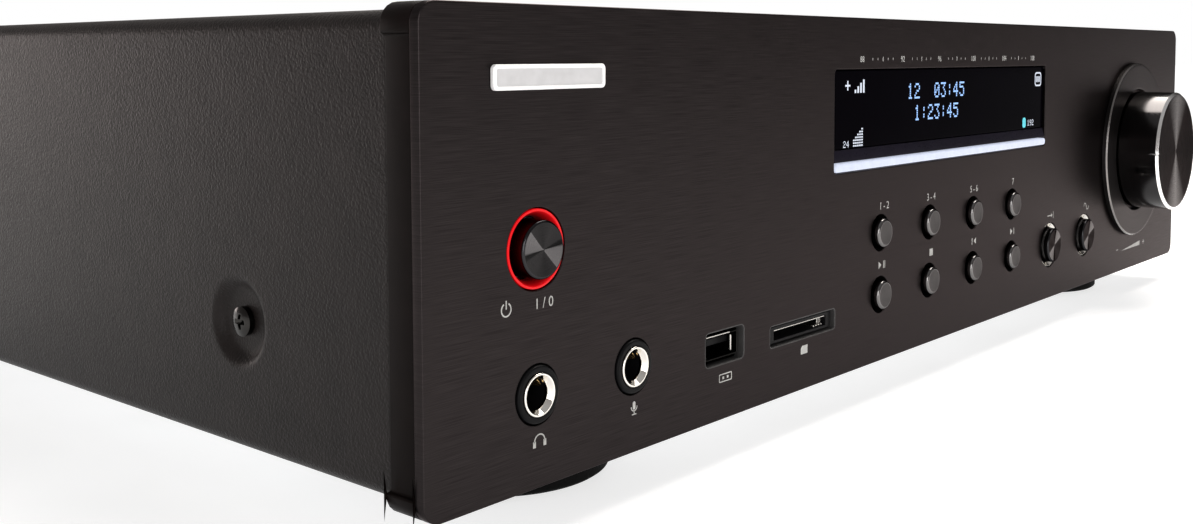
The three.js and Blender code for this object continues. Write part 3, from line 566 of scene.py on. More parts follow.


# Painted highlight and painted shade: stops of base colour by angle round a spun face. The sharp set
# gives the standby and selector caps bright and dark wedges; the soft set gives the knob face a bright
# wedge at the top and one at the bottom.
SHARP_PAINTED_HIGHLIGHTS = [
    (0.0, 1.0),
    (0.27, 0.75),
    (0.3, 0.03),
    (0.35, 0.05),
    (0.38, 0.17),
    (0.6, 0.2),
    (0.8, 0.13),
    (0.98, 0.17),
]
SOFT_PAINTED_HIGHLIGHTS = [(0.0, 0.06), (0.32, 0.09), (0.5, 1.0), (0.68, 0.09), (1.0, 0.06)]
PLATE_BLACK = brushed(
    "black_brushed_plate", (0.0262, 0.0224, 0.0226), 0.34, 0.16, 0.014, 0.7, 0.34, specular_tint=(
        0.6, 0.58, 0.58, 1
    )
)
# The standby and selector faces carry painted highlight and painted shade wedges in their base colour.
STANDBY_FACE = brushed(
    "black_spun_standby_painted_highlight", (0.115, 0.11, 0.113), 0.3, 0.16, 0.004, 0.5, 0.1, True, (133, SHARP_PAINTED_HIGHLIGHTS)
)
GRAZING_DARK = (0.4, 0.39, 0.39, 1)
SELECTOR_FACE = brushed(
    "black_spun_selector_painted_highlight", (0.2, 0.19, 0.19), 0.3, 0.16, 0.004, 0.5, 0.1, True, (205, SHARP_PAINTED_HIGHLIGHTS),
    specular_tint=GRAZING_DARK,
)
KEY_FACE = brushed(
    "dark_satin_key", (0.075, 0.072, 0.072), 0.42, 0.16, 0.003, 0.3, 0.08, True, specular_tint=(
        0.6, 0.58, 0.58, 1
    )
)
KEY_SIDE = brushed(
    "polished_key_edge", (
        0.15, 0.146, 0.146
    ), 0.1, 0.3, 0.001, 0.0, 0.05, True, specular_tint=GRAZING_DARK
)
CAP_SIDE = brushed(
    "black_polished_cap_side", (
        0.03, 0.03, 0.032
    ), 0.16, 0.3, 0.001, 0.0, 0.05, True, specular_tint=GRAZING_DARK
)
# The knob face's bright wedges at top and bottom are a painted highlight.
KNOB_FACE = brushed(
    "black_spun_knob_face_painted_highlight", (0.26, 0.25, 0.247), 0.28, 0.2, 0.005, 0.5, 0.1, True, (0, SOFT_PAINTED_HIGHLIGHTS),
    specular_tint=GRAZING_DARK,
)
KNOB_SIDE = brushed("black_polished_knob_side", (0.052, 0.05, 0.05), 0.13, 0.35, 0.003, 0.2, 0.08, True)
DISC_BLACK = brushed(
    "black_spun_disc", (0.034, 0.032, 0.032), 0.33, 0.2, 0.01, 0.6, 0.2, True, specular_tint=(
        0.6, 0.58, 0.58, 1
    )
)
DISC_EDGE = brushed("dark_cut_disc_edge", (0.2, 0.19, 0.185), 0.2, 0.1, 0.002, 0.2, 0.05, True)
CUT_BRIGHT = brushed("diamond_cut_edge", (0.88, 0.88, 0.88), 0.14, 0.1, 0.002, 0.2, 0.05, True)
CHROME = brushed("bright_chrome", (0.8, 0.77, 0.72), 0.09, 0.5, 0.001, 0.0, 0.04, True)
NICKEL = grained("nickel_plate", (0.62, 0.6, 0.57), 0.2, 0.6, 0.003, 1.0, 0.06)
CUT_WALL = grained("dark_socket_wall", (0.035, 0.034, 0.034), 0.5, 0.3, 0.01, specular_ior_level=0.3)
# Painted shade: a near-black shell for the USB socket, so the inside of its mouth reads as shade.
SOCKET_SHELL_PAINTED_SHADE = grained(
    "socket_shell_painted_shade",
    (0.02, 0.0195, 0.019),
    0.3,
    0.6,
    0.003,
    1.0,
    0.1,
    specular_tint=(0.3, 0.3, 0.3, 1),
)
GOLD = grained("gold_contacts", (0.8, 0.55, 0.25), 0.22, 0.6, 0.003, 1.0, 0.06)
BADGE_FRAME = grained("bright_badge_frame", (0.9, 0.9, 0.9), 0.3, 0.25, 0.003, 0.1, 0.03)
BADGE_PANEL = grained("satin_badge_panel", (0.6, 0.6, 0.61), 0.4, 0.2, 0.006, 0.3, 0.05)
POWDER = grained(
    "black_powder_coat", (0.0098, 0.0078, 0.0074), 0.42, 0.58, 0.17, spread=0.18, specular_ior_level=0.12
)
MOULDED = grained(
    "black_moulded_plastic", (0.0052, 0.0036, 0.0033), 0.4, 0.35, 0.012, specular_ior_level=0.035
)
SOFT_BLACK = grained(
    "black_soft_plastic", (0.003, 0.003, 0.0035), 0.4, 0.3, 0.006, specular_ior_level=0.07
)
DARK_VOID = grained("black_inside", (0.0012, 0.0012, 0.0012), 0.8, 0.5, 0.01, specular_ior_level=0.03)
RUBBER = grained("black_rubber", (0.003, 0.003, 0.003), 0.7, 0.6, 0.03, specular_ior_level=0.05)
PAD = grained("foot_pad_felt", (0.02, 0.019, 0.019), 0.95, 0.35, 0.12)
SILL_BLUE = grained("sill_dark", (0.008, 0.007, 0.012), 0.3, 0.5, 0.008, specular_ior_level=0.05)
GLASS = glossy_glass("smoked_display_glass", (0.0009, 0.0006, 0.0014))
# The red ring glows with its own light; its glow fading with depth is painted shade in the ring's sloping
# recess.
RED_LIGHT = glowing("red_light_ring", (0.80, 0.004, 0.008), 0.95, painted_shade_depths=(FRONT, FRONT + 1.8))
BAR_LIGHT = glowing("cool_light_bar", (0.72, 0.78, 0.95), 0.72)
DOT_BLUE = glowing("display_blue_dots", (0.32, 0.55, 1.0), 1.1, 0.6)
DOT_WHITE = glowing("display_white_marks", (0.72, 0.78, 0.9), 0.8, 0.6)
DOT_CYAN = glowing("display_cyan_mark", (0.1, 0.65, 0.75), 0.8, 0.6)
PRINT = grained("printed_grey_ink", (0.4, 0.4, 0.385), 0.6, 0.3, 0.004)
SCREW_BLACK = grained("black_zinc_screw", (0.028, 0.027, 0.026), 0.16, 0.4, 0.003, 1.0)
PLASTIC_WHITE = grained("white_plastic", (0.7, 0.7, 0.68), 0.4, 0.4, 0.008)
PLASTIC_RED = grained("red_plastic", (0.35, 0.012, 0.012), 0.38, 0.4, 0.01)
PLASTIC_BLACK = grained(
    "black_terminal_plastic", (0.012, 0.012, 0.012), 0.36, 0.4, 0.01, specular_ior_level=0.3
)
BOARD = circuit_board("green_circuit_board", (0.012, 0.06, 0.022))
ZINC = spangled("zinc_plated_sheet", (0.55, 0.56, 0.57))
TINPLATE = spangled("tinned_can", (0.66, 0.66, 0.64))
HEATSINK = grained("heatsink_aluminium", (0.5, 0.51, 0.52), 0.42, 0.5, 0.02, 1.0)
CORE = laminated("laminated_core", (0.12, 0.11, 0.1))
WINDING = wound("copper_winding", (0.42, 0.17, 0.06))
SLEEVE = grained("capacitor_sleeve", (0.02, 0.024, 0.06), 0.35, 1.0, 0.01)

# ---- Case: front plate, frame, cover, rear panel, screws and feet ----


def front_openings(grow, wall=0):
    """Every opening in the front, each grown by the same amount: rings, keys, jacks, bushing, window,
    sockets. The sockets' openings have walls of their own finish."""
    def hole(name, radius, edge=0.2):
        return circle(*axis_of(name), radius + grow), edge

    def opening(name, margin):
        low, high = span(name)
        width, height = high[0] - low[0] + 2 * margin[0], high[2] - low[2] + 2 * margin[1]
        return rectangle(*axis_of(name), width + 2 * grow, height + 2 * grow, margin[2]), 0.2, wall

    out = [hole("standby_light_ring", round_radius("standby_light_ring") + FIT)]
    out += [hole(f"{side}_ring", round_radius(f"{side}_ring") + FIT) for side in ("source", "mode")]
    out += [hole(f"{name}_jack_ring", JACK_NOSE + FIT) for name in ("headphone", "microphone")]
    out += [hole(key, KEY_CAP + KEY_GAP) for row in KEYS for key in row]
    out.append(hole("volume_disc", BUSHING + FIT))
    low, high = span("light_bar")[0], span("display_window")[1]
    width, height = high[0] - low[0] + 2 * FIT, high[2] - low[2] + 2 * FIT
    middle = (low[0] + high[0]) / 2, (low[2] + high[2]) / 2
    out.append((rectangle(*middle, width + 2 * grow, height + 2 * grow, WINDOW_CORNER), 0.25))
    out += [opening("usb_socket", USB_MARGIN), opening("card_socket", CARD_MARGIN)]
    return out


def front_plate():
    """A sheet with a rounded outline and a softened front edge."""
    outline = rectangle(PLATE_X, PLATE_Z, PLATE_WIDTH, PLATE_HEIGHT, PLATE_CORNER, 10)
    parts = slab(outline, FRONT, plate_high[1], 0.3, front_openings(0.0, 1), 0.2, arc=5)
    make(
        "front_plate_face",
        parts,
        [PLATE_BLACK, CUT_WALL],
        ["front_plate"],
        grain="straight",
    )


def front_frame():
    """The moulding behind the plate: its sides stand in between a full-width foot and cap."""
    low, high = span("front_frame")
    left, right = low[0] + FRAME_INSET, high[0] - FRAME_INSET
    foot, cap = low[2] + FRAME_FOOT, high[2] - FRAME_CAP
    corners = [
        (low[0], low[2]), (high[0], low[2]), (high[0], foot), (right, foot), (right, cap), (high[0], cap),
        (high[0], high[2]), (low[0], high[2]), (low[0], cap), (left, cap), (left, foot), (low[0], foot),
    ]
    outer, step = PLATE_CORNER, 0.55
    radii = [outer, outer, step, step, step, step, outer, outer, step, step, step, step]
    outline = rounded(corners, radii, 5, True)
    parts = slab(outline, low[1], high[1], 0.25, front_openings(FRAME_HOLE_GROW), 0.25, arc=3)
    make("front_frame_moulding", parts, MOULDED, ["front_frame"])


def stops_between(*runs):
    """Sorted places from several runs of (start, end, count), without doubles."""
    return np.unique(np.round(np.concatenate([np.linspace(*run) for run in runs]), 5))


def vent_slots():
    """The slots in the cover's top, as (left, right, front, back)."""
    low, high = span("front_plate")[0], span("top_cover")[1]
    middle = low[1] + SLOTS_PLACE * (high[1] - low[1])
    slots = []
    for side in (-1, 1):
        x = side * PLATE_WIDTH / 4
        for index in range(SLOT_COUNT):
            y = middle + (index - (SLOT_COUNT - 1) / 2) * SLOT_PITCH
            slots.append(
                (x - SLOT_LENGTH / 2, x + SLOT_LENGTH / 2, y - SLOT_WIDTH / 2, y + SLOT_WIDTH / 2)
            )
    return slots


def cover_section(low, high):
    """The cover's section from lip to lip, and how far along it each of its points lies."""
    half, top, foot = high[0], high[2], low[2]
    corners = [
        (-half + COVER_LIP, foot),
        (-half, foot),
        (-half, top),
        (half, top),
        (half, foot),
        (half - COVER_LIP, foot),
    ]
    section = rounded(corners, [0, COVER_FOOT_BEND, COVER_BEND, COVER_BEND, COVER_FOOT_BEND, 0], 8)
    return section, np.concatenate([[0], np.cumsum(np.linalg.norm(np.diff(section, axis=0), axis=1))])


def cover_columns(section, run, screw_z, slots):
    """Places along the section: its own points, fine runs over the dimples, and the ends of the slots."""
    reach = DIMPLE + DIMPLE_MARGIN
    half = len(section) // 2
    side = float(np.interp(screw_z, section[:half, 1], run[:half]))
    total = run[-1]
    own = [(s, s, 1) for s in run]
    slot_ends = [(total / 2 + x, total / 2 + x, 1) for slot in slots for x in slot[:2]]
    dimples = [(side - reach, side + reach, 33), (total - side - reach, total - side + reach, 33)]
    return stops_between(*own, *dimples, *slot_ends, (run[0], run[-1], 41))


def cover_rows(front, back, screw_ys, slots):
    """Places along the depth: even ones, fine ones at both ends and over the dimples, and near a slot
    only those at y = start + width (1 - cos a) / 2, which make its round ends."""
    reach = DIMPLE + DIMPLE_MARGIN
    turn = np.linspace(0, np.pi / 2, 5)
    ends = [*(front + COVER_EDGE * (1 - np.cos(turn))), *(back - COVER_EDGE * (1 - np.cos(turn)))]
    runs = [(y - reach, y + reach, 33) for y in screw_ys]
    runs += [(end, end, 1) for end in ends] + [(front + 1, back - 1, 31)]
    starts = sorted({slot[2] for slot in slots})
    arcs = (1 - np.cos(np.linspace(0, np.pi, 9))) / 2 * SLOT_WIDTH
    runs += [(start + arc, start + arc, 1) for start in starts for arc in arcs]
    deep = stops_between(*runs)
    by_slot = np.zeros(len(deep), bool)
    for start in starts:
        by_slot |= (deep > start - SLOT_MARGIN) & (deep < start + SLOT_WIDTH + SLOT_MARGIN)
    wanted = np.unique(np.round(np.concatenate([start + arcs for start in starts]), 5))
    return np.unique(np.concatenate([deep[~by_slot], wanted]))


def turned_in(deep, front, back):
    """How far in the sheet stands at each depth, as its ends turn in by a quarter circle."""
    out = np.zeros(len(deep))
    for end in (front, back):
        near = np.clip(1 - np.abs(deep - end) / COVER_EDGE, 0, 1)
        out = np.maximum(out, COVER_EDGE * (1 - np.sqrt(1 - near**2)))
    return out


def cut_slots(xs, x, deep, slots, is_top):
    """The grid's X with the columns at a slot's ends moved along half circles, and which quads stay."""
    keep = np.ones((len(deep) - 1, len(x) - 1), bool)
    mid_x, mid_y = (x[1:] + x[:-1]) / 2, (deep[1:] + deep[:-1]) / 2
    radius = SLOT_WIDTH / 2
    for left, right, front, back in slots:
        inside_y = (mid_y > front) & (mid_y < back)
        keep &= ~(inside_y[:, None] & ((mid_x > left) & (mid_x < right) & is_top)[None, :])
        rows_in = (deep > front - 1e-4) & (deep < back + 1e-4)
        rise = radius - np.sqrt(np.clip(radius**2 - (deep - (front + back) / 2) ** 2, 0, None))
        for at, sign in ((left, 1), (right, -1)):
            column = np.abs(x - at) < 1e-3
            xs = np.where(rows_in[:, None] & column[None, :], xs + sign * rise[:, None], xs)
    return xs, keep


def top_cover():
    """A bent sheet: its section runs from one lip round the foot bend, up the side, over the top and
    down. Depth is added at four dimples as D smoothstep((R - r) / (R - floor)), and slots with round ends
    are left open. Solidify gives the sheet its thickness."""
    low, high = span("top_cover")
    screw_z = axis_of("cover_screw_front_left")[1]
    screw_ys = [
        sum(corner[1] for corner in span(f"cover_screw_{end}_left")) / 2 for end in ("front", "rear")
    ]
    slots = vent_slots()
    section, run = cover_section(low, high)
    along = cover_columns(section, run, screw_z, slots)
    deep = cover_rows(low[1], high[1], screw_ys, slots)
    x, z = np.interp(along, run, section[:, 0]), np.interp(along, run, section[:, 1])
    slope = np.stack([np.gradient(x, along), np.gradient(z, along)], 1)
    normal = np.stack([-slope[:, 1], slope[:, 0]], 1)
    normal = normal / np.linalg.norm(normal, axis=1, keepdims=True)
    inwards = turned_in(deep, low[1], high[1])
    xs = x[None, :] - normal[None, :, 0] * inwards[:, None]
    zs = z[None, :] - normal[None, :, 1] * inwards[:, None]
    ys = np.repeat(deep[:, None], len(along), 1)
    on_side = (np.abs(x) > high[0] - 0.01)[None, :]
    for y in screw_ys:
        away = np.hypot(ys - y, zs - screw_z)
        depth = DIMPLE_DEPTH * smoothstep((DIMPLE - away) / (DIMPLE - DIMPLE_FLOOR))
        xs = xs - np.where(on_side, np.sign(xs) * depth, 0)
    is_top = (z[1:] > high[2] - 0.01) & (z[:-1] > high[2] - 0.01)
    xs, keep = cut_slots(xs, x, deep, slots, is_top)
    points = np.stack([xs, ys, zs], 2).reshape(-1, 3)
    quads = grid_faces(len(deep), len(along), False)[keep.ravel()][:, ::-1]
    used = np.unique(quads)
    renumber = np.zeros(len(points), int)
    renumber[used] = np.arange(len(used))
    cover = make(
        "top_cover_shell", [(points[used], renumber[quads], 0)], POWDER, ["top_cover"]
    )
    sheet = cover.modifiers.new("sheet", "SOLIDIFY")
    sheet.thickness, sheet.offset, sheet.use_even_offset = COVER_SHEET / METRE, -1, True


def cross_head(height_of, radius, rings, steps):
    """Heights over a disc on a polar grid, as (radius, height, angle) arrays; rings crowd towards the
    rim."""
    r = radius * np.linspace(0, 1, rings) ** 0.9
    a = np.linspace(0, 2 * np.pi, steps, endpoint=False)
    rr, aa = np.meshgrid(r, a, indexing="ij")
    return rr, aa, height_of(rr, aa)


def cover_screws():
    """Pan heads with a cross recess: height = crown (1 - (r / R)^2) less the recess's depth, which falls
    off over a tenth of a millimetre from a cross of two bars and slopes up towards the bars' ends."""
    radius, crown, rim, bar, arm, deep = 3.2, 0.55, 1.35, 0.5, 1.75, 1.2

    def height(r, a):
        x, z = np.abs(r * np.cos(a)), np.abs(r * np.sin(a))
        long, short = np.maximum(x, z), np.minimum(x, z)
        recess = smoothstep((bar - short) / 0.14) * smoothstep((arm - long) / 0.9)
        return rim + crown * (1 - (r / radius) ** 2) - deep * recess

    for end in ("front", "rear"):
        for side, facing in (("left", "-X"), ("right", "+X")):
            name = f"cover_screw_{end}_{side}"
            low, high = span(name)
            seat = high[0] if side == "right" else low[0]
            sign = 1 if side == "right" else -1
            centre = np.array([seat - sign * 2.0, (low[1] + high[1]) / 2, (low[2] + high[2]) / 2])
            u, v = (np.array(axis, float) for axis in SIDES[facing])
            rr, aa, hh = cross_head(height, radius, 34, 144)
            face = centre + hh[..., None] * np.cross(u, v) + rr[..., None] * (
                np.cos(aa)[..., None] * u + np.sin(aa)[..., None] * v
            )
            edge = rounded(
                [(radius, rim), (radius + 0.02, 0.0), (1.5, 0.0), (1.5, -8.5), (0.0, -9.0)],
                [0, 0.25, 0, 0.3, 0],
                4,
            )
            parts = grid(face, True) + lathe(centre, facing, edge, 144)
            make(name + "_head", parts, SCREW_BLACK, [name], crease=40)


def feet():
    """A turned rubber foot with a softer pad: straight sides with rounded edges, and shallow rings in the
    pad."""
    for end in ("front", "rear"):
        for side in ("left", "right"):
            name = f"foot_{end}_{side}"
            low, high = span(name)
            radius, height = (high[1] - low[1]) / 2, high[2] - low[2]
            centre = [(low[0] + high[0]) / 2, (low[1] + high[1]) / 2, high[2]]
            hollow = PAD_RADIUS + PAD_FIT
            corners = [
                (0, 0),
                (radius - 3, 0),
                (radius, height * 0.4),
                (radius, height - 1.8),
                (radius - 1.2, height - 1.0),
                (hollow, height - 1.0),
                (hollow, height - 2.6),
                (0, height - 2.6),
            ]
            body = rounded(corners, [0, 0.6, 1.5, 0.8, 0.5, 0.3, 0, 0], 5)
            r = np.linspace(0, PAD_FLAT, 60)
            under = np.stack([r, height - 0.12 * (1 - np.cos(r * 2 * np.pi / PAD_RIDGE))], 1)
            rim = [
                (PAD_FLAT, height),
                (PAD_RADIUS, height - 0.2),
                (PAD_RADIUS, height - 2.5),
                (0, height - 2.5),
            ]
            pad = np.concatenate([under, rounded(rim, [0, 0.5, 0, 0], 4)[1:]])
            parts = lathe(centre, "-Z", body, 120) + lathe(centre, "-Z", pad, 96, kind=1)
            make(name + "_turned", parts, [RUBBER, PAD], [name])


def rear_panel():
    """A coated sheet with rounded corners and the sockets' openings."""
    low, high = span("rear_panel")
    outline = rectangle(
        (low[0] + high[0]) / 2, (low[2] + high[2]) / 2, high[0] - low[0], high[2] - low[2], COVER_BEND
    )
    holes = []
    for name, rim in (
        ("mains_inlet", INLET_RIM), ("speaker_terminal_block", 0), ("line_socket_block", 0)
    ):
        a, b = span(name)
        width, height = b[0] - a[0] - 2 * rim + 2 * FIT, b[2] - a[2] - 2 * rim + 2 * FIT
        holes.append((rectangle(*axis_of(name), width, height, 0.5), 0.15))
    aerial_low, aerial_high = span("aerial_socket")
    holes.append(
        (
            circle((aerial_low[0] + aerial_high[0]) / 2, (aerial_low[2] + aerial_high[2]) / 2, 5.0, 64),
            0.15,
        )
    )
    parts = slab(outline, high[1], low[1], 0.3, holes, 0.15, facing="+Y")
    make("rear_panel_sheet", parts, POWDER, ["rear_panel"])


front_plate()
front_frame()
top_cover()
cover_screws()
feet()
rear_panel()

# ---- Buttons, rings and the volume knob ----


def push_button(name, cap, dish, face_finish, side_finish, flange_front, edge=CAP_EDGE):
    """A cap turned about its axis, with a rounded edge and a face dished by a shallow parabola, on a
    flange and stem."""
    low, high = span(name)
    x, z = axis_of(name)
    reach, end = FRONT - low[1], high[1] - FRONT
    flange = round_radius(name)
    r = np.linspace(0, 1, 14)
    face = np.stack([r * (cap - edge), reach - dish * (1 - r**2)], 1)
    side = rounded(
        [(cap - edge, reach), (cap, reach), (cap, -flange_front), (flange, -flange_front),
         (flange, -flange_front - 1), (2, -flange_front - 1), (2, -end), (0, -end)],
        [0, edge * 0.96, 0, 0.2, 0, 0, 0.3, 0], 8,
    )
    centre = (x, FRONT, z)
    parts = lathe(centre, "-Y", face, 96) + lathe(centre, "-Y", side, 96, kind=1)
    make(
        name + "_cap",
        parts,
        [face_finish, side_finish],
        [name],
        grain=(centre, "-Y"),
        crease=40,
    )


def sloped_ring(name, cap, material, lip, sunk=0.0):
    """A ring whose inner wall slopes from the plate's face down to the cap: a short lip, a slope and a
    straight wall."""
    low, high = span(name)
    outer, depth, inner = round_radius(name), high[1] - low[1], cap + CAP_GAP
    profile = rounded(
        [
            (inner, -depth),
            (inner, -depth / 2),
            (outer - lip, -sunk),
            (outer, -sunk),
            (outer, -depth),
            (inner, -depth),
        ],
        [0, 0.25, min(0.12, lip * 0.4), min(0.12, lip * 0.4), 0, 0], 5,
    )
    x, z = axis_of(name)
    centre = (x, FRONT, z)
    make(
        name + "_turned",
        lathe(centre, "-Y", profile, 128),
        material,
        [name],
        grain=(centre, "-Y"),
    )


def volume_knob():
    """A turned knob: a spun face with a shallow dish, a bright cut chamfer with one index notch, a
    polished side."""
    name = "volume_knob"
    low, high = span(name)
    x, z = axis_of(name)
    centre = (x, FRONT, z)
    radius, reach, back = round_radius(name), FRONT - low[1], FRONT - high[1]
    notch_angle, notch_width, notch_depth = np.pi, 0.02, 0.75
    angles = np.unique(
        np.concatenate(
            [np.linspace(0, 2 * np.pi, 192, endpoint=False), notch_angle + np.linspace(-0.06, 0.06, 25)]
        )
    )

    def notch(profile, a):
        cut = notch_depth * smoothstep((notch_width - np.abs(a - notch_angle)) / 0.012)
        near = smoothstep((profile[:, 1] - reach + 2.4) / 0.5) * (profile[:, 0] > radius - 2.2)
        return -near[:, None] * cut[None, :]

    r = np.linspace(0, 1, 22)
    face_edge = radius - KNOB_CHAMFER
    face = np.stack([r * face_edge, reach - 0.25 * (1 - r**2)], 1)
    chamfer = np.array(
        [
            (face_edge, reach),
            (face_edge + 0.06, reach - 0.01),
            (radius - 0.06, reach - KNOB_CHAMFER + 0.05),
            (radius, reach - KNOB_CHAMFER),
        ]
    )
    side = rounded(
        [
            (radius, reach - KNOB_CHAMFER),
            (radius, back),
            (radius - 1.5, back),
            (3.3, back),
            (3.3, 13.0),
            (0, 13.0),
        ],
        [0, 0.4, 0, 0, 0, 0],
        5,
    )
    side = np.concatenate(
        [np.stack([np.full(10, radius), np.linspace(reach - KNOB_CHAMFER, back + 0.5, 10)], 1), side[1:]]
    )
    parts = lathe(centre, "-Y", face, kind=0, wave=notch, angles=angles)
    parts += lathe(centre, "-Y", chamfer, kind=1, wave=notch, angles=angles)
    parts += lathe(centre, "-Y", side, kind=2, wave=notch, angles=angles)
    make(
        "volume_knob_turned",
        parts,
        [KNOB_FACE, CUT_BRIGHT, KNOB_SIDE],
        [name],
        grain=(centre, "-Y"),
        crease=28,
    )


def volume_disc():
    """The flat ring round the knob, with a bright bevel outside and a softened edge at the well."""
    name = "volume_disc"
    x, z = axis_of(name)
    centre = (x, FRONT, z)
    low, high = span(name)
    outer, reach, back = round_radius(name), FRONT - low[1], FRONT - high[1]
    inner = round_radius("volume_knob") + WELL_GAP
    rim = outer - DISC_BEVEL
    well = rounded([(inner, back), (inner, reach), (inner + 1, reach)], [0, 0.25, 0], 5)
    face = np.stack([np.linspace(inner + 1, rim, 12), np.full(12, reach)], 1)
    bevel = np.array(
        [
            (rim, reach),
            (rim + 0.05, reach - 0.01),
            (outer - 0.05, reach - DISC_BEVEL + 0.05),
            (outer, reach - DISC_BEVEL),
        ]
    )
    wall = np.array([(outer, reach - DISC_BEVEL), (outer, back), (inner, back)])
    parts = lathe(centre, "-Y", np.concatenate([well, face[1:]]), 192)
    parts += lathe(centre, "-Y", bevel, 192, kind=1) + lathe(centre, "-Y", wall, 192)
    make(
        "volume_disc_turned",
        parts,
        [DISC_BLACK, DISC_EDGE],
        [name],
        grain=(centre, "-Y"),
        crease=28,
    )


for row in KEYS:
    for key in row:
        push_button(key, KEY_CAP, 0.12, KEY_FACE, KEY_SIDE, KEY_FLANGE, 0.8)
push_button("standby_button", STANDBY_CAP, 0.18, STANDBY_FACE, CAP_SIDE, STANDBY_FLANGE)
sloped_ring("standby_light_ring", STANDBY_CAP, RED_LIGHT, 0.5, 0.15)
for side in ("source", "mode"):
    push_button(f"{side}_button", SELECTOR_CAP, 0.18, SELECTOR_FACE, CAP_SIDE, SELECTOR_FLANGE)
    sloped_ring(f"{side}_ring", SELECTOR_CAP, CHROME, 0.06, 0.3)
volume_disc()
volume_knob()

# ---- Display ----


def extruded_x(section, left, right, kind=0):
    """A closed section of (Y, Z) points carried along X, with its ends filled."""
    section = np.asarray(section, float)
    loops = [np.stack([np.full(len(section), x), section[:, 0], section[:, 1]], 1) for x in (left, right)]
    return grid(np.stack(loops), True, kind) + [fill([loop], kind) for loop in loops]


def display_glass():
    """Smoked glass with a fine ground edge."""
    low, high = span("display_window")
    outline = rectangle(*axis_of("display_window"), high[0] - low[0], high[2] - low[2], WINDOW_CORNER)
    make(
        "display_glass",
        slab(outline, low[1], high[1], 0.15, back_edge=0.1),
        GLASS,
        ["display_window"],
    )


def window_sill():
    """The strip that slopes from the glass forwards to the light bar."""
    low, high = span("window_sill")
    back_step = 0.9
    section = [(low[1], low[2]), (high[1], low[2]), (high[1], high[2]), (low[1] + back_step, high[2])]
    parts = extruded_x(rounded(section, [0.15, 0.1, 0.1, 0.15], 4, True), low[0], high[0])
    make("window_sill_slope", parts, SILL_BLUE, ["window_sill"])


def light_bar():
    """A light guide with rounded ends and a softly rounded front."""
    low, high = span("light_bar")
    height = high[2] - low[2]
    outline = rectangle(*axis_of("light_bar"), high[0] - low[0], height, height * 0.45, 8)
    make(
        "light_bar_guide",
        slab(outline, low[1], high[1], 0.4, back_edge=0.1),
        BAR_LIGHT,
        ["light_bar"],
    )


DOTS = {
    "0": "01110 10001 10011 10101 11001 10001 01110", "1": "00100 01100 00100 00100 00100 00100 01110",
    "2": "01110 10001 00001 00110 01000 10000 11111", "3": "11111 00010 00100 00010 00001 10001 01110",
    "4": "00010 00110 01010 10010 11111 00010 00010", "5": "11111 10000 11110 00001 00001 10001 01110",
    "6": "00110 01000 10000 11110 10001 10001 01110", "7": "11111 00001 00010 00100 01000 01000 01000",
    "8": "01110 10001 10001 01110 10001 10001 01110", "9": "01110 10001 10001 01111 00001 00010 01100",
    ":": "00000 00100 00100 00000 00100 00100 00000", ".": "00000 00000 00000 00000 00000 01100 01100",
    " ": "00000 00000 00000 00000 00000 00000 00000", "-": "00000 00000 00000 11111 00000 00000 00000",
}


def tiles(centres, width, height, front, depth=0.05, kind=0):
    """Small raised tiles at (X, Z) centres: eight corners and six faces each, from one array of
    offsets."""
    centres = np.asarray(centres, float).reshape(-1, 2)
    ends = [-0.5, 0.5]
    offsets = np.array(
        [(a * width, b * depth + depth / 2, c * height) for a in ends for b in ends for c in ends]
    )
    points = np.stack([centres[:, 0], np.full(len(centres), front), centres[:, 1]], 1)[:, None] + offsets
    faces = np.array([(0, 1, 3, 2), (4, 6, 7, 5), (0, 4, 5, 1), (2, 3, 7, 6), (0, 2, 6, 4), (1, 5, 7, 3)])
    starts = 8 * np.arange(len(centres))[:, None, None]
    return [(points.reshape(-1, 3), (faces + starts).reshape(-1, 4), kind)]


def dot_text(text, left, top, height, pitch=1.22):
    """Centres of the lit dots of a line of characters, five by seven dots each."""
    cell = height / 6.6
    out = []
    for index, character in enumerate(text):
        rows = np.array([[int(bit) for bit in row] for row in DOTS[character].split()])
        down, over = np.nonzero(rows)
        out.append(np.stack([left + (index * 5 * pitch + over) * cell, top - down * cell], 1))
    return np.concatenate(out), cell


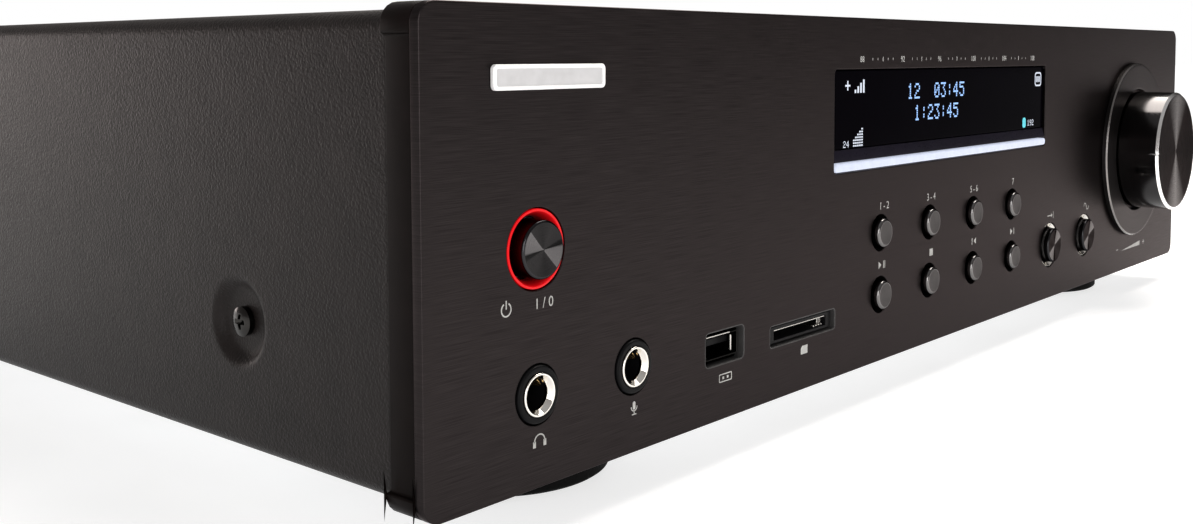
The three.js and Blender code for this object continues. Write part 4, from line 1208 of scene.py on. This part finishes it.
def display_marks():
    """Lit characters behind the glass's face: a time and a number in dots, level bars, and plain
    symbols."""
    front = span("display_window")[0][1] - 0.06
    x0, z0 = plate_low[0], plate_low[2]
    blue = []
    for text, left, top, height in (("12  03:45", 186.4, 77.7, 4.3), ("1:23:45", 190.8, 71.3, 4.3)):
        centres, cell = dot_text(text, x0 + left, z0 + top, height, 1.3)
        blue += tiles(centres, cell * 0.8, cell * 0.8, front)
    make("display_digits", blue, DOT_BLUE, body="case")
    white = []
    for text, left, top, height in (("24", 149.9, 63.0, 1.7), ("192", 273.0, 63.9, 1.9)):
        centres, cell = dot_text(text, x0 + left, z0 + top, height, 1.3)
        white += tiles(centres, cell * 0.85, cell * 0.85, front)
    levels = [(x0 + 155.4 + 1.1 * c, z0 + 61.6 + 0.75 * r) for c in range(5) for r in range(3 + c)]
    white += tiles(levels, 0.75, 0.42, front)
    signal = [(x0 + 156.0 + 1.5 * c, z0 + 76.4 + 0.45 * c) for c in range(4)]
    for index, (x, z) in enumerate(signal):
        white += tiles([(x, z)], 0.8, 0.9 + 0.9 * index, front)
    white += tiles([(x0 + 151.9, z0 + 78.0)], 2.6, 0.5, front) + tiles(
        [(x0 + 151.9, z0 + 78.0)], 0.5, 2.6, front
    )
    icon = rectangle(x0 + 281.4, z0 + 77.8, 5.4, 4.8, 1.2, 5)
    hole = rectangle(x0 + 281.4, z0 + 77.8, 4.4, 3.8, 0.8, 5)
    white += slab(icon, front, front + 0.05, 0, [(hole, 0)])
    white += tiles([(x0 + 281.4 + d, z0 + 77.8) for d in (-1.1, 0, 1.1)], 0.6, 2.0, front)
    make("display_symbols", white, DOT_WHITE, body="case")
    pill = rectangle(x0 + 270.1, z0 + 63.2, 2.6, 3.4, 0.9, 5)
    make("display_pill", slab(pill, front, front + 0.05, 0), DOT_CYAN, body="case")


display_glass()
window_sill()
light_bar()
display_marks()

# ---- Printed marks and badge ----


def printed(parts, name):
    make(name, parts, PRINT, body="case")


def flat_ring(x, z, radius, width, front, start=0.0, sweep=2 * np.pi, steps=40):
    """An arc of ink with square ends, or a whole ring."""
    if sweep >= 2 * np.pi:
        return slab(
            circle(x, z, radius + width / 2, steps),
            front,
            front + PRINT_THICKNESS,
            0,
            [(circle(x, z, radius - width / 2, steps), 0)],
        )
    a = start + np.linspace(0, sweep, steps)
    out = np.stack([np.cos(a), np.sin(a)], 1)
    outline = np.concatenate(
        [(x, z) + out * (radius + width / 2), ((x, z) + out * (radius - width / 2))[::-1]]
    )
    return slab(outline, front, front + PRINT_THICKNESS, 0)


def flat_shape(points, front):
    """A polygon of ink from its corners, anticlockwise."""
    return slab(np.asarray(points, float), front, front + PRINT_THICKNESS, 0)


def numerals(text, x, z, height, front):
    """Printed numbers, centred at X, standing on Z."""
    curve = bpy.data.curves.new("numerals", "FONT")
    curve.body, curve.size, curve.align_x = text, height / 0.73, "CENTER"
    curve.extrude, curve.resolution_u = PRINT_THICKNESS / 2, 3
    made = bpy.data.objects.new("numerals", curve)
    bpy.context.scene.collection.objects.link(made)
    mesh = bpy.data.meshes.new_from_object(made.evaluated_get(bpy.context.evaluated_depsgraph_get()))
    points = np.empty(len(mesh.vertices) * 3)
    mesh.vertices.foreach_get("co", points)
    points = points.reshape(-1, 3)
    faces = [list(polygon.vertices) for polygon in mesh.polygons]
    bpy.data.objects.remove(made)
    placed = np.stack([points[:, 0] + x, front + PRINT_THICKNESS / 2 - points[:, 2], points[:, 1] + z], 1)
    sizes = sorted({len(face) for face in faces})
    return [(placed, np.array([face for face in faces if len(face) == size]), 0) for size in sizes]


def standby_marks(x0, z0, front):
    """A power symbol, and on and off numbers, over the right of the standby button."""
    power = (x0 + 21.4, z0 + 37.3)
    parts = flat_ring(*power, 1.3, 0.3, front, math.radians(118), math.radians(304), 28)
    parts += tiles([(power[0], power[1] + 0.95)], 0.3, 1.7, front, PRINT_THICKNESS)
    return parts + numerals("1 / 0", x0 + 32.0, z0 + 36.2, 2.2, front)


def headphone_mark(x, z, front):
    """An arc with two cups."""
    cups = [(x - 1.5, z - 0.4), (x + 1.5, z - 0.4)]
    return flat_ring(x, z, 1.5, 0.3, front, 0, math.pi, 20) + tiles(
        cups, 0.8, 1.3, front, PRINT_THICKNESS
    )


def microphone_mark(x, z, front):
    """A capsule in a cradle, on a stand."""
    parts = slab(rectangle(x, z, 0.9, 1.8, 0.42, 5), front, front + PRINT_THICKNESS, 0)
    parts += flat_ring(x, z - 0.2, 1.0, 0.22, front, math.pi, math.pi, 16)
    parts += tiles([(x, z - 1.55)], 0.24, 0.7, front, PRINT_THICKNESS)
    return parts + tiles([(x, z - 1.95)], 1.5, 0.22, front, PRINT_THICKNESS)


def data_socket_mark(x, z, front):
    """A plug's outline with two contacts."""
    outer, inner = rectangle(x, z, 5.2, 2.0, 0.3), rectangle(x, z, 4.7, 1.5, 0.15)
    parts = slab(outer, front, front + PRINT_THICKNESS, 0, [(inner, 0)])
    return parts + tiles([(x - 0.9, z), (x + 0.9, z)], 0.7, 0.6, front, PRINT_THICKNESS)


def card_mark(x, z, front):
    """A card with a cut corner."""
    corners = np.array([(-1.6, -1.1), (1.6, -1.1), (1.6, 1.1), (-0.9, 1.1), (-1.6, 0.4)])
    return flat_shape(corners + (x, z), front)


def key_marks(x0, z0, front):
    """Numbers above the upper keys, and transport marks above the lower ones."""
    parts = []
    for text, middle in (("1 - 2", 171.2), ("3 - 4", 200.1), ("5 - 6", 229.6), ("7", 259.6)):
        parts += numerals(text, x0 + middle, z0 + 43.0, 2.2, front)
    for middle, marks in ((170.1, ">="), (200.5, "#"), (229.8, "|<"), (260.0, ">|")):
        parts += transport(marks, x0 + middle, z0 + 27.3, front)
    return parts


def source_mark(x, z, front):
    """An arrow that points at a bar."""
    parts = tiles([(x - 1.6, z)], 3.0, 0.3, front, PRINT_THICKNESS)
    parts += flat_shape([(x, z - 0.8), (x + 1.3, z), (x, z + 0.8)], front)
    return parts + tiles([(x + 2.1, z)], 0.3, 2.4, front, PRINT_THICKNESS)


def mode_mark(x, z, front):
    """A wave from two half rings."""
    parts = []
    for side, turn in ((-1, 0), (1, math.pi)):
        parts += flat_ring(x + side * 1.2, z, 1.2, 0.3, front, turn, math.pi, 16)
    return parts


def volume_mark(x, z, front):
    """A rising wedge between a minus and a plus."""
    middle = z + 0.9
    parts = flat_shape([(x - 11, z), (x + 11, z), (x + 11, z + 1.8)], front)
    parts += tiles([(x - 15.5, middle), (x + 15.5, middle)], 2.0, 0.35, front, PRINT_THICKNESS)
    return parts + tiles([(x + 15.5, middle)], 0.35, 2.0, front, PRINT_THICKNESS)


def tuning_scale(x0, z0, front):
    """Six numbers with a long tick and four short ones between each two."""
    pitch = 23.2
    parts = []
    for index in range(6):
        x = x0 + 158.0 + index * pitch
        parts += numerals(str(88 + 4 * index), x, z0 + 84.3, 1.7, front)
        if index < 5:
            middle, z = x + pitch / 2, z0 + 85.1
            parts += tiles([(middle, z)], 0.28, 1.3, front, PRINT_THICKNESS)
            short = [(middle + d, z) for d in (-5.8, -2.9, 2.9, 5.8)]
            parts += tiles(short, 0.22, 0.7, front, PRINT_THICKNESS)
    return parts


def front_marks():
    """Grey symbols and numbers on the plate. Places run from the plate's left and lower edge."""
    front = FRONT - PRINT_THICKNESS
    x0, z0 = plate_low[0], plate_low[2]
    parts = standby_marks(x0, z0, front)
    parts += headphone_mark(x0 + 30.5, z0 + 9.4, front)
    parts += microphone_mark(x0 + 60.2, z0 + 10.4, front)
    parts += data_socket_mark(x0 + 94.4, z0 + 10.0, front)
    parts += card_mark(x0 + 129.4, z0 + 10.4, front)
    parts += key_marks(x0, z0, front)
    parts += source_mark(x0 + 293.2, z0 + 29.4, front)
    parts += mode_mark(x0 + 327.3, z0 + 29.6, front)
    parts += volume_mark(x0 + 377.5, z0 + 8.0, front)
    parts += tuning_scale(x0, z0, front)
    printed(parts, "front_printed_marks")


def transport(marks, x, z, front):
    """Play, pause, stop and skip symbols in a row, centred at X."""
    step, size = 2.1, 1.05
    parts = []
    for index, mark in enumerate(marks):
        at = x + (index - (len(marks) - 1) / 2) * step
        if mark == ">":
            parts += flat_shape(
                [(at - size * 0.7, z - size), (at + size * 0.8, z), (at - size * 0.7, z + size)], front
            )
        if mark == "<":
            parts += flat_shape(
                [(at + size * 0.7, z - size), (at + size * 0.7, z + size), (at - size * 0.8, z)], front
            )
        if mark == "|":
            parts += tiles([(at, z)], 0.35, 2 * size, front, PRINT_THICKNESS)
        if mark == "=":
            parts += tiles([(at, z), (at + 0.75, z)], 0.35, 2 * size, front, PRINT_THICKNESS)
        if mark == "#":
            parts += tiles([(at, z)], 2 * size, 2 * size, front, PRINT_THICKNESS)
    return parts


def badge():
    """A plain raised nameplate: a bright frame with softly rounded edges round a satin panel a little
    sunk."""
    low, high = span("badge_plate")
    x, z = axis_of("badge_plate")
    width, height = high[0] - low[0], high[2] - low[2]
    outline, inner = rectangle(x, z, width, height, 1.0, 6), rectangle(
        x, z, width - 1.6, height - 1.6, 0.5, 6
    )
    panel = rectangle(x, z, width - 1.5, height - 1.5, 0.5, 6)
    parts = slab(outline, low[1], high[1], 0.3, [(inner, 0.12)], 0.1)
    parts += slab(panel, low[1] + 0.3, high[1] - 0.05, 0.0, kind=1)
    make(
        "badge_blank", parts, [BADGE_FRAME, BADGE_PANEL], ["badge_plate"], grain="straight"
    )


front_marks()
badge()

# ---- Jacks and card sockets ----


def jack(name):
    """A soft black nose round a bright ring that leads in as a cone, a dark bore with a contact leaf, and
    a body."""
    x, z = axis_of(f"{name}_jack_ring")
    centre = (x, FRONT, z)
    body_front = span("front_frame")[1][1] - FRONT + 0.2
    seat, bore = JACK_RING + 0.08, JACK_BORE + 0.05
    corners = [
        (seat, -1.05),
        (seat, 0.5),
        (JACK_NOSE, 0.5),
        (JACK_NOSE, -body_front),
        (bore, -body_front),
        (bore, -1.05),
        (seat, -1.05),
    ]
    nose = rounded(corners, [0, 0.3, 0.5, 0, 0, 0, 0], 6)
    end = span(f"{name}_jack")[1][1] - FRONT
    front = -body_front - 0.05
    shell = [(JACK_CUP, front), (bore, front), (bore, -end + 1.5), (0, -end + 1.5)]
    cup = rounded([*shell, (0, -end), (JACK_CUP, -end), (JACK_CUP, front)], 0, 1)
    parts = lathe(centre, "-Y", nose, 96) + lathe(centre, "-Y", cup, 48, kind=1)
    make(f"{name}_jack_nose", parts, [SOFT_BLACK, DARK_VOID], [f"{name}_jack"])
    ring = rounded(
        [
            (JACK_BORE, -1.0),
            (JACK_BORE, -0.35),
            (JACK_RING - 0.42, 0.8),
            (JACK_RING, 0.8),
            (JACK_RING, -1.0),
            (JACK_BORE, -1.0),
        ],
        [0, 0.3, 0.12, 0.2, 0, 0], 6,
    )
    make(
        f"{name}_jack_ring_turned",
        lathe(centre, "-Y", ring, 128),
        CHROME,
        [f"{name}_jack_ring"],
        grain=(centre, "-Y"),
    )
    make(f"{name}_jack_leaf", contact_leaf(centre, 0.7), GOLD, body="case")


def contact_leaf(centre, angle):
    """A sprung strip along a bore: it bows inwards by half a sine over its length, and has a
    thickness."""
    along = np.linspace(0, 1, 14)
    across = np.linspace(-0.32, 0.32, 5)
    rows = []
    for layer in (0.0, 0.15):
        radius = JACK_BORE - 0.25 - layer - 0.9 * np.sin(np.pi * along)
        a = angle + across
        x = centre[0] + radius[:, None] * np.cos(a)[None, :]
        z = centre[2] + radius[:, None] * np.sin(a)[None, :]
        y = np.repeat((centre[1] + 1.6 + 6.5 * along)[:, None], len(a), 1)
        rows.append(np.stack([x, y, z], 2))
    front, back = rows
    loop = np.concatenate([front, back[:, ::-1]], 1)
    closed = grid(loop, True)
    for end in (0, -1):
        closed += grid(np.stack([front[end], back[end]]))
    return closed


def usb_socket():
    """A pressed metal shell, flared at the mouth, a black tongue with four contacts, and sprung tabs."""
    low, high = span("usb_socket")
    x, z = axis_of("usb_socket")
    width, height = high[0] - low[0], high[2] - low[2]
    wall, tongue_w, tongue_h, drop = 0.4, 11.0, 1.9, 0.7
    outer = rectangle(x, z, width, height, 0.7, 5)
    bore = rectangle(x, z, width - 2 * wall, height - 2 * wall, 0.4, 5)
    parts = slab(outer, low[1], high[1] - 2, 0.12, [(bore, 0.12)])
    parts += block(
        (low[0] + 0.1, high[1] - 2, low[2] + 0.1), (high[0] - 0.1, high[1], high[2] - 0.1), 0.2
    )
    tab_z = high[2] - wall - 0.25
    for side in (-1, 1):
        parts += block(
            (x + side * 3.2 - 1, low[1] + 2, tab_z - 0.15),
            (x + side * 3.2 + 1, low[1] + 8, tab_z + 0.15),
            0.08,
        )
    # The shell's near-black colour is painted shade inside the socket.
    make("usb_socket_shell", parts, SOCKET_SHELL_PAINTED_SHADE, ["usb_socket"])
    lip = block(
        (low[0] + 0.3, low[1] - 0.1, high[2] - 0.24), (x + 3.2, low[1] + 0.4, high[2] + 0.06), 0.08
    )
    lip += block((x + 3.9, low[1] + 0.3, low[2] + 1.1), (x + 4.4, low[1] + 0.8, high[2] - 0.9), 0.1)
    make("usb_socket_springs", lip, NICKEL, body="case")
    tongue_z = high[2] - wall - drop - tongue_h / 2
    tongue = block(
        (x - tongue_w / 2, low[1] + 2.2, tongue_z - tongue_h / 2),
        (x + tongue_w / 2, high[1] - 2, tongue_z + tongue_h / 2),
        0.2,
    )
    make("usb_socket_tongue", tongue, SOFT_BLACK, body="case")
    contacts = []
    for place in (-3.5, -1.0, 1.0, 3.5):
        contacts += block(
            (x + place - 0.4, low[1] + 2.8, tongue_z - tongue_h / 2 - 0.12),
            (x + place + 0.4, high[1] - 6, tongue_z - tongue_h / 2 + 0.05),
            0.05,
        )
    make("usb_socket_contacts", contacts, GOLD, body="case")


def card_socket():
    """A moulded body with a wide slot, a thin metal lid over it and a row of contacts at one end."""
    low, high = span("card_socket")
    x, z = axis_of("card_socket")
    width, height = high[0] - low[0], high[2] - low[2]
    outer = rectangle(x, z, width, height, 0.4, 4)
    slot = rectangle(x, z, CARD_SLOT[0], CARD_SLOT[1], 0.3, 4)
    parts = slab(outer, low[1], high[1] - 3, 0.2, [(slot, 0.15)])
    parts += block(
        (low[0] + 0.1, high[1] - 3, low[2] + 0.1), (high[0] - 0.1, high[1], high[2] - 0.1), 0.2
    )
    make("card_socket_body", parts, SOFT_BLACK, ["card_socket"])
    lid_z = z + CARD_SLOT[1] / 2
    lid = block(
        (x - CARD_SLOT[0] / 2 + 0.3, low[1] + 0.15, lid_z - 0.32),
        (x + CARD_SLOT[0] / 2 - 0.3, high[1] - 4, lid_z - 0.06),
        0.06,
    )
    contacts = []
    for index in range(4):
        cx = x + CARD_SLOT[0] / 2 - 1.0 - 1.3 * index
        contacts += block(
            (cx - 0.28, low[1] + 0.6, z - CARD_SLOT[1] / 2 + 0.1),
            (cx + 0.28, low[1] + 6, z - CARD_SLOT[1] / 2 + 0.5),
            0.06,
        )
    for index in range(3):
        cx = x + CARD_SLOT[0] / 2 - 0.7 - 0.8 * index
        contacts += block((cx - 0.14, low[1] + 1.2, z - 0.9), (cx + 0.14, low[1] + 1.6, z + 0.85), 0.05)
    side_x = x - CARD_SLOT[0] / 2
    lid += block((side_x + 0.02, low[1] + 0.15, z - 1.1), (side_x + 0.16, low[1] + 1.2, z + 1.1), 0.04)
    make("card_socket_lid", lid + contacts, NICKEL, body="case")


for jack_name in ("headphone", "microphone"):
    jack(jack_name)
usb_socket()
card_socket()

# ---- Rear sockets ----

rear_low, rear_high = span("rear_panel")
REAR = rear_high[1]


def mains_inlet():
    """A two-pin cup: a rounded rim on the panel, a recess with rounded ends, and two pins with domed
    tips."""
    name = "mains_inlet"
    low, high = span(name)
    x, z = axis_of(name)
    rim, wall, pitch = INLET_RIM, 1.6, 8.6
    width, height = high[0] - low[0] - 2 * rim, high[2] - low[2] - 2 * rim
    outer = rectangle(x, z, width, height, 2.0, 6)
    recess = rectangle(x, z, width - 2 * wall, height - 2 * wall, (height - 2 * wall) / 2 - 0.05, 10)
    parts = slab(outer, high[1], low[1] + wall, 0.35, [(recess, 0.3)], facing="+Y")
    parts += block(
        (x - width / 2 + 0.1, low[1], z - height / 2 + 0.1),
        (x + width / 2 - 0.1, low[1] + wall, z + height / 2 - 0.1),
        0.2,
    )
    flange_back = rear_low[1] - 0.1
    parts += block((low[0], flange_back - 2.4, low[2]), (high[0], flange_back, high[2]), 0.3)
    make("mains_inlet_cup", parts, PLASTIC_BLACK, [name])
    pins = []
    for side in (-1, 1):
        profile = rounded([(0, 9.8), (1.15, 9.8), (1.15, 0), (0, 0)], [0, 1.1, 0, 0], 6)
        pins += lathe((x + side * pitch / 2, low[1] + wall, z), "+Y", profile, 32)
    make("mains_inlet_pins", pins, NICKEL, body="case")


def line_sockets():
    """A moulded block with two rows of round sockets: a nickel sleeve, a coloured insulator and a centre
    contact."""
    name = "line_socket_block"
    low, high = span(name)
    x, z = axis_of(name)
    reach, radius, pitch, columns = 9.0, 4.15, 14.5, 4
    face = high[1] - reach
    parts = block((low[0], low[1], low[2]), (high[0], face, high[2]), 0.6, facing="+Y")
    for column in range(columns):
        for row in (-0.5, 0.5):
            at = (x + (column - (columns - 1) / 2) * pitch, face, z + row * pitch)
            parts += lathe(
                at,
                "+Y",
                rounded(
                    [(0, 0), (6.1, 0), (6.1, 0.6), (5.2, 0.6), (5.2, 0.2), (0, 0.2)],
                    [0, 0, 0.2, 0.2, 0, 0],
                    3,
                ),
                48,
            )
    make("line_socket_moulding", parts, PLASTIC_BLACK, [name])
    sleeves, white, red, pins = [], [], [], []
    for column in range(columns):
        for row in (-0.5, 0.5):
            at = (x + (column - (columns - 1) / 2) * pitch, face, z + row * pitch)
            sleeve = rounded(
                [
                    (3.3, 0),
                    (3.3, reach),
                    (radius, reach),
                    (radius, 1),
                    (radius + 0.6, 1),
                    (radius + 0.6, 0),
                    (3.3, 0),
                ],
                [0, 0.25, 0.35, 0.2, 0.2, 0, 0],
                4,
            )
            sleeves += lathe(at, "+Y", sleeve, 64)
            insulator = rounded(
                [(1.75, -3), (1.75, reach - 0.8), (3.25, reach - 0.8), (3.25, -3), (1.75, -3)],
                [0, 0.2, 0.1, 0, 0],
                3,
            )
            (red if row < 0 else white).extend(lathe(at, "+Y", insulator, 48))
            contact = rounded(
                [(1.35, -3), (1.35, reach - 1.4), (1.7, reach - 1.4), (1.7, -3), (1.35, -3)],
                [0, 0.1, 0.1, 0, 0],
                2,
            )
            pins += lathe(at, "+Y", contact, 24)
    make("line_socket_sleeves", sleeves, NICKEL, body="case")
    make("line_socket_insulators_white", white, PLASTIC_WHITE, body="case")
    make("line_socket_insulators_red", red, PLASTIC_RED, body="case")
    make("line_socket_contacts", pins, GOLD, body="case")


def aerial_socket():
    """A threaded barrel on a hexagon nut: the thread is a ridge of a third of a millimetre each
    millimetre."""
    low, high = span("aerial_socket")
    x, z = (low[0] + high[0]) / 2, (low[2] + high[2]) / 2
    reach = high[1] - REAR
    run = np.linspace(reach - 0.6, 3.2, 90)
    thread = np.stack([4.35 + 0.3 * np.cos((run - reach) * 2 * np.pi), run], 1)
    profile = np.concatenate(
        [
            [
                (0, reach - 5),
                (1.0, reach - 5),
                (1.0, reach - 0.1),
                (1.2, reach),
                (4.1, reach),
                (4.35, reach - 0.3),
            ],
            thread,
            [(4.3, 3.0), (4.3, 0.0), (0, 0.0)],
        ]
    )
    centre = (x, REAR, z)
    parts = lathe(centre, "+Y", profile, 64)
    hexagon = circle(x, z, 7.4, 6)
    parts += slab(rounded(hexagon, 0.5, 3, True), REAR + 2.8, REAR + 0.2, 0.35, facing="+Y")
    parts += block((low[0], low[1], low[2]), (high[0], rear_low[1] - 0.1, high[2]), 0.4)
    make("aerial_socket_barrel", parts, NICKEL, ["aerial_socket"], crease=40)


def terminals():
    """A moulded block with four threaded posts, and a fluted cap on each: radius + flute cos(n angle)
    over the grip."""
    name = "speaker_terminal_block"
    low, high = span(name)
    caps = ["right_negative", "right_positive", "left_negative", "left_positive"]
    base_y = span("terminal_cap_right_negative")[0][1] - 0.3
    parts = block((low[0], low[1], low[2]), (high[0], base_y, high[2]), 0.8, facing="+Y")
    posts = []
    for label in caps:
        x, z = axis_of(f"terminal_cap_{label}")
        parts += lathe(
            (x, base_y, z),
            "+Y",
            rounded([(0, -0.5), (9.0, -0.5), (9.0, 0.12), (0, 0.12)], [0, 0, 0.1, 0], 2),
            64,
        )
        run = np.linspace(11.8, 0.0, 80)
        thread = np.stack([2.45 + 0.12 * np.cos(run * 2 * np.pi / 0.7), run], 1)
        posts += lathe(
            (x, base_y, z),
            "+Y",
            np.concatenate([[(0, 12.0), (2.2, 12.0)], thread, [(2.4, -1.0), (0, -1.0)]]),
            32,
        )
    make("speaker_terminal_moulding", parts, PLASTIC_BLACK, [name])
    make("speaker_terminal_posts", posts, GOLD, body="case")
    for label in caps:
        cap_name = f"terminal_cap_{label}"
        c_low, c_high = span(cap_name)
        x, z = axis_of(cap_name)
        radius, reach = round_radius(cap_name), c_high[1] - c_low[1]
        along = np.linspace(reach - 2.2, 3.0, 24)
        outer = np.concatenate([
            rounded([(2.1, reach), (radius - 0.3, reach), (radius - 0.3, reach - 2.2)], [0, 0.9, 0], 5),
            np.stack([np.full(24, radius - 0.3), along], 1)[1:],
            rounded(
                [(radius - 0.3, 3.0), (radius - 0.1, 2.6), (radius - 0.1, 0.0), (2.9, 0.0)],
                [0, 0.1, 0.3, 0],
                4,
            )[1:],
            [(2.9, 12.0), (2.1, 12.0), (2.1, reach)],
        ])

        def flutes(profile, angles, radius=radius, reach=reach):
            grip = smoothstep((profile[:, 1] - 2.9) / 0.8) * smoothstep(
                (reach - 1.2 - profile[:, 1]) / 1.2
            ) * (profile[:, 0] > radius - 1)
            return grip[:, None] * 0.28 * np.cos(20 * angles)[None, :]

        colour, slot_name = (PLASTIC_RED, "cap_red") if label.endswith("positive") else (
            PLASTIC_BLACK, "cap_black"
        )
        make(
            cap_name + "_fluted",
            lathe((x, c_low[1], z), "+Y", outer, 160, wave=flutes),
            colour,
            [cap_name],
            crease=40,
        )


mains_inlet()
line_sockets()
aerial_socket()
terminals()

# ---- Inside: the frame's own nodes, each with its finish ----

INSIDE = {
    BOARD: ("main_board", "power_board", "key_board", "standby_board"),
    ZINC: ("bottom_chassis", "encoder_body"),
    TINPLATE: ("tuner_module",),
    HEATSINK: ("heatsink",),
    CORE: ("transformer_core",),
    WINDING: ("transformer_winding",),
    SLEEVE: ("reservoir_capacitor_1", "reservoir_capacitor_2"),
    SCREW_BLACK: ("encoder_shaft",),
    DARK_VOID: ("display_module",),
}
for material, names in INSIDE.items():
    for name in names:
        slots = frame["nodes"][name].data.materials
        slots.clear()
        slots.append(material)

# ---- Floor, light and camera ----


def floor():
    """A wide plain pale sheet under the feet, lit from below as well, a little more far off, so shadows
    stay soft."""
    material, tree, shader = finish("pale_floor", (0.5, 0.5, 0.5), 0.7, specular_ior_level=0.1)
    shade = noise(tree, 40)
    vary(tree, shader, shade, (0.5, 0.5, 0.5), 0.98, 1.02)
    tree.links.new(ramp(tree, shade, [(0.3, 0.97), (0.7, 1.0)]), shader.inputs["Emission Color"])
    place = node(tree, "TexCoord").outputs["Object"]
    away = node(tree, "VectorMath", {0: place}, operation="LENGTH").outputs["Value"]
    strength = node(
        tree, "MapRange", {"Value": away, "From Min": 0.5, "From Max": 2.5, "To Min": 0.73, "To Max": 1.0}
    )
    tree.links.new(strength.outputs[0], shader.inputs["Emission Strength"])
    reach = 12.0
    mesh = bpy.data.meshes.new("floor")
    mesh.from_pydata(
        [(-reach, -reach, 0), (reach, -reach, 0), (reach, reach, 0), (-reach, reach, 0)],
        [],
        [(0, 1, 2, 3)],
    )
    mesh.materials.append(material)
    sheet = bpy.data.objects.new("floor", mesh)
    bpy.context.scene.collection.objects.link(sheet)


def area_light(name, place, target, width, height, watts, colour):
    """A soft box at a place, facing a target, in metres."""
    light = bpy.data.lights.new(name, "AREA")
    light.shape, light.size, light.size_y = "RECTANGLE", width, height
    light.energy, light.color = watts, colour
    made = bpy.data.objects.new(name, light)
    made.location = place
    made.rotation_mode = "QUATERNION"
    made.rotation_quaternion = (Vector(target) - Vector(place)).to_track_quat("-Z", "Y")
    bpy.context.scene.collection.objects.link(made)


def sky():
    """Studio light from all round: even at the left and front, dim at the right, with a plain white
    backdrop."""
    world = bpy.data.worlds.new("studio")
    world.use_nodes = True
    bpy.context.scene.world = world
    tree = world.node_tree
    place = node(tree, "SeparateXYZ", {0: node(tree, "TexCoord").outputs["Generated"]})
    height = ramp(
        tree, place.outputs["Z"], [(0.0, (0.38, 0.345, 0.337)), (0.3, (0.3, 0.28, 0.27)), (1.0, 0.42)]
    )
    aside = ramp(tree, place.outputs["X"], [(0.65, 1.0), (0.93, 0.2)])
    shade = node(
        tree, "Mix", {"Factor": 1.0, 6: height, 7: aside}, data_type="RGBA", blend_type="MULTIPLY"
    ).outputs[2]
    around = node(tree, "Background", {"Color": shade, "Strength": 1.0})
    backdrop = node(tree, "Background", {"Color": (1, 1, 1, 1), "Strength": 1.0})
    seen = node(tree, "LightPath").outputs["Is Camera Ray"]
    mixed = node(tree, "MixShader", {0: seen, 1: around.outputs[0], 2: backdrop.outputs[0]})
    tree.links.new(mixed.outputs[0], tree.nodes["World Output"].inputs["Surface"])


def camera():
    """A long lens low at the front left, its heading turned right of straight back and pitched slightly
    down."""
    heading, pitch, roll = math.radians(48.9441), math.radians(3.6276), math.radians(0.1751)
    forward = Vector(
        (math.sin(heading) * math.cos(pitch), math.cos(heading) * math.cos(pitch), -math.sin(pitch))
    )
    level = Vector((math.cos(heading), -math.sin(heading), 0))
    down = forward.cross(level)
    right = math.cos(roll) * level + math.sin(roll) * down
    below = math.cos(roll) * down - math.sin(roll) * level
    lens = bpy.data.cameras.new("camera")
    lens.sensor_width, lens.lens, lens.shift_y = 36.0, 38.245, -0.10464
    lens.clip_start, lens.clip_end = 0.01, 100
    made = bpy.data.objects.new("camera", lens)
    turn = Matrix((right, -below, -forward)).transposed().to_4x4()
    made.matrix_world = Matrix.Translation((-0.36432, -0.32856, 0.09666)) @ turn
    bpy.context.scene.collection.objects.link(made)
    bpy.context.scene.camera = made


floor()
sky()
camera()
area_light("overhead_softbox", (0.5, 0.1, 1.0), (0.15, -0.1, 0.05), 1.0, 0.8, 32.0, (1.0, 0.94, 0.88))
area_light("rear_left_softbox", (-0.55, 1.9, 0.05), (-0.2, 0.1, 0.05), 0.7, 0.7, 7.5, (1.0, 0.88, 0.84))
area_light("front_left_softbox", (-1.0, -1.2, 0.3), (0.0, -0.1, 0.05), 1.3, 0.8, 12.0, (1.0, 0.98, 0.97))
bpy.context.scene.view_settings.view_transform = "Standard"

bpy.context.view_layer.update()
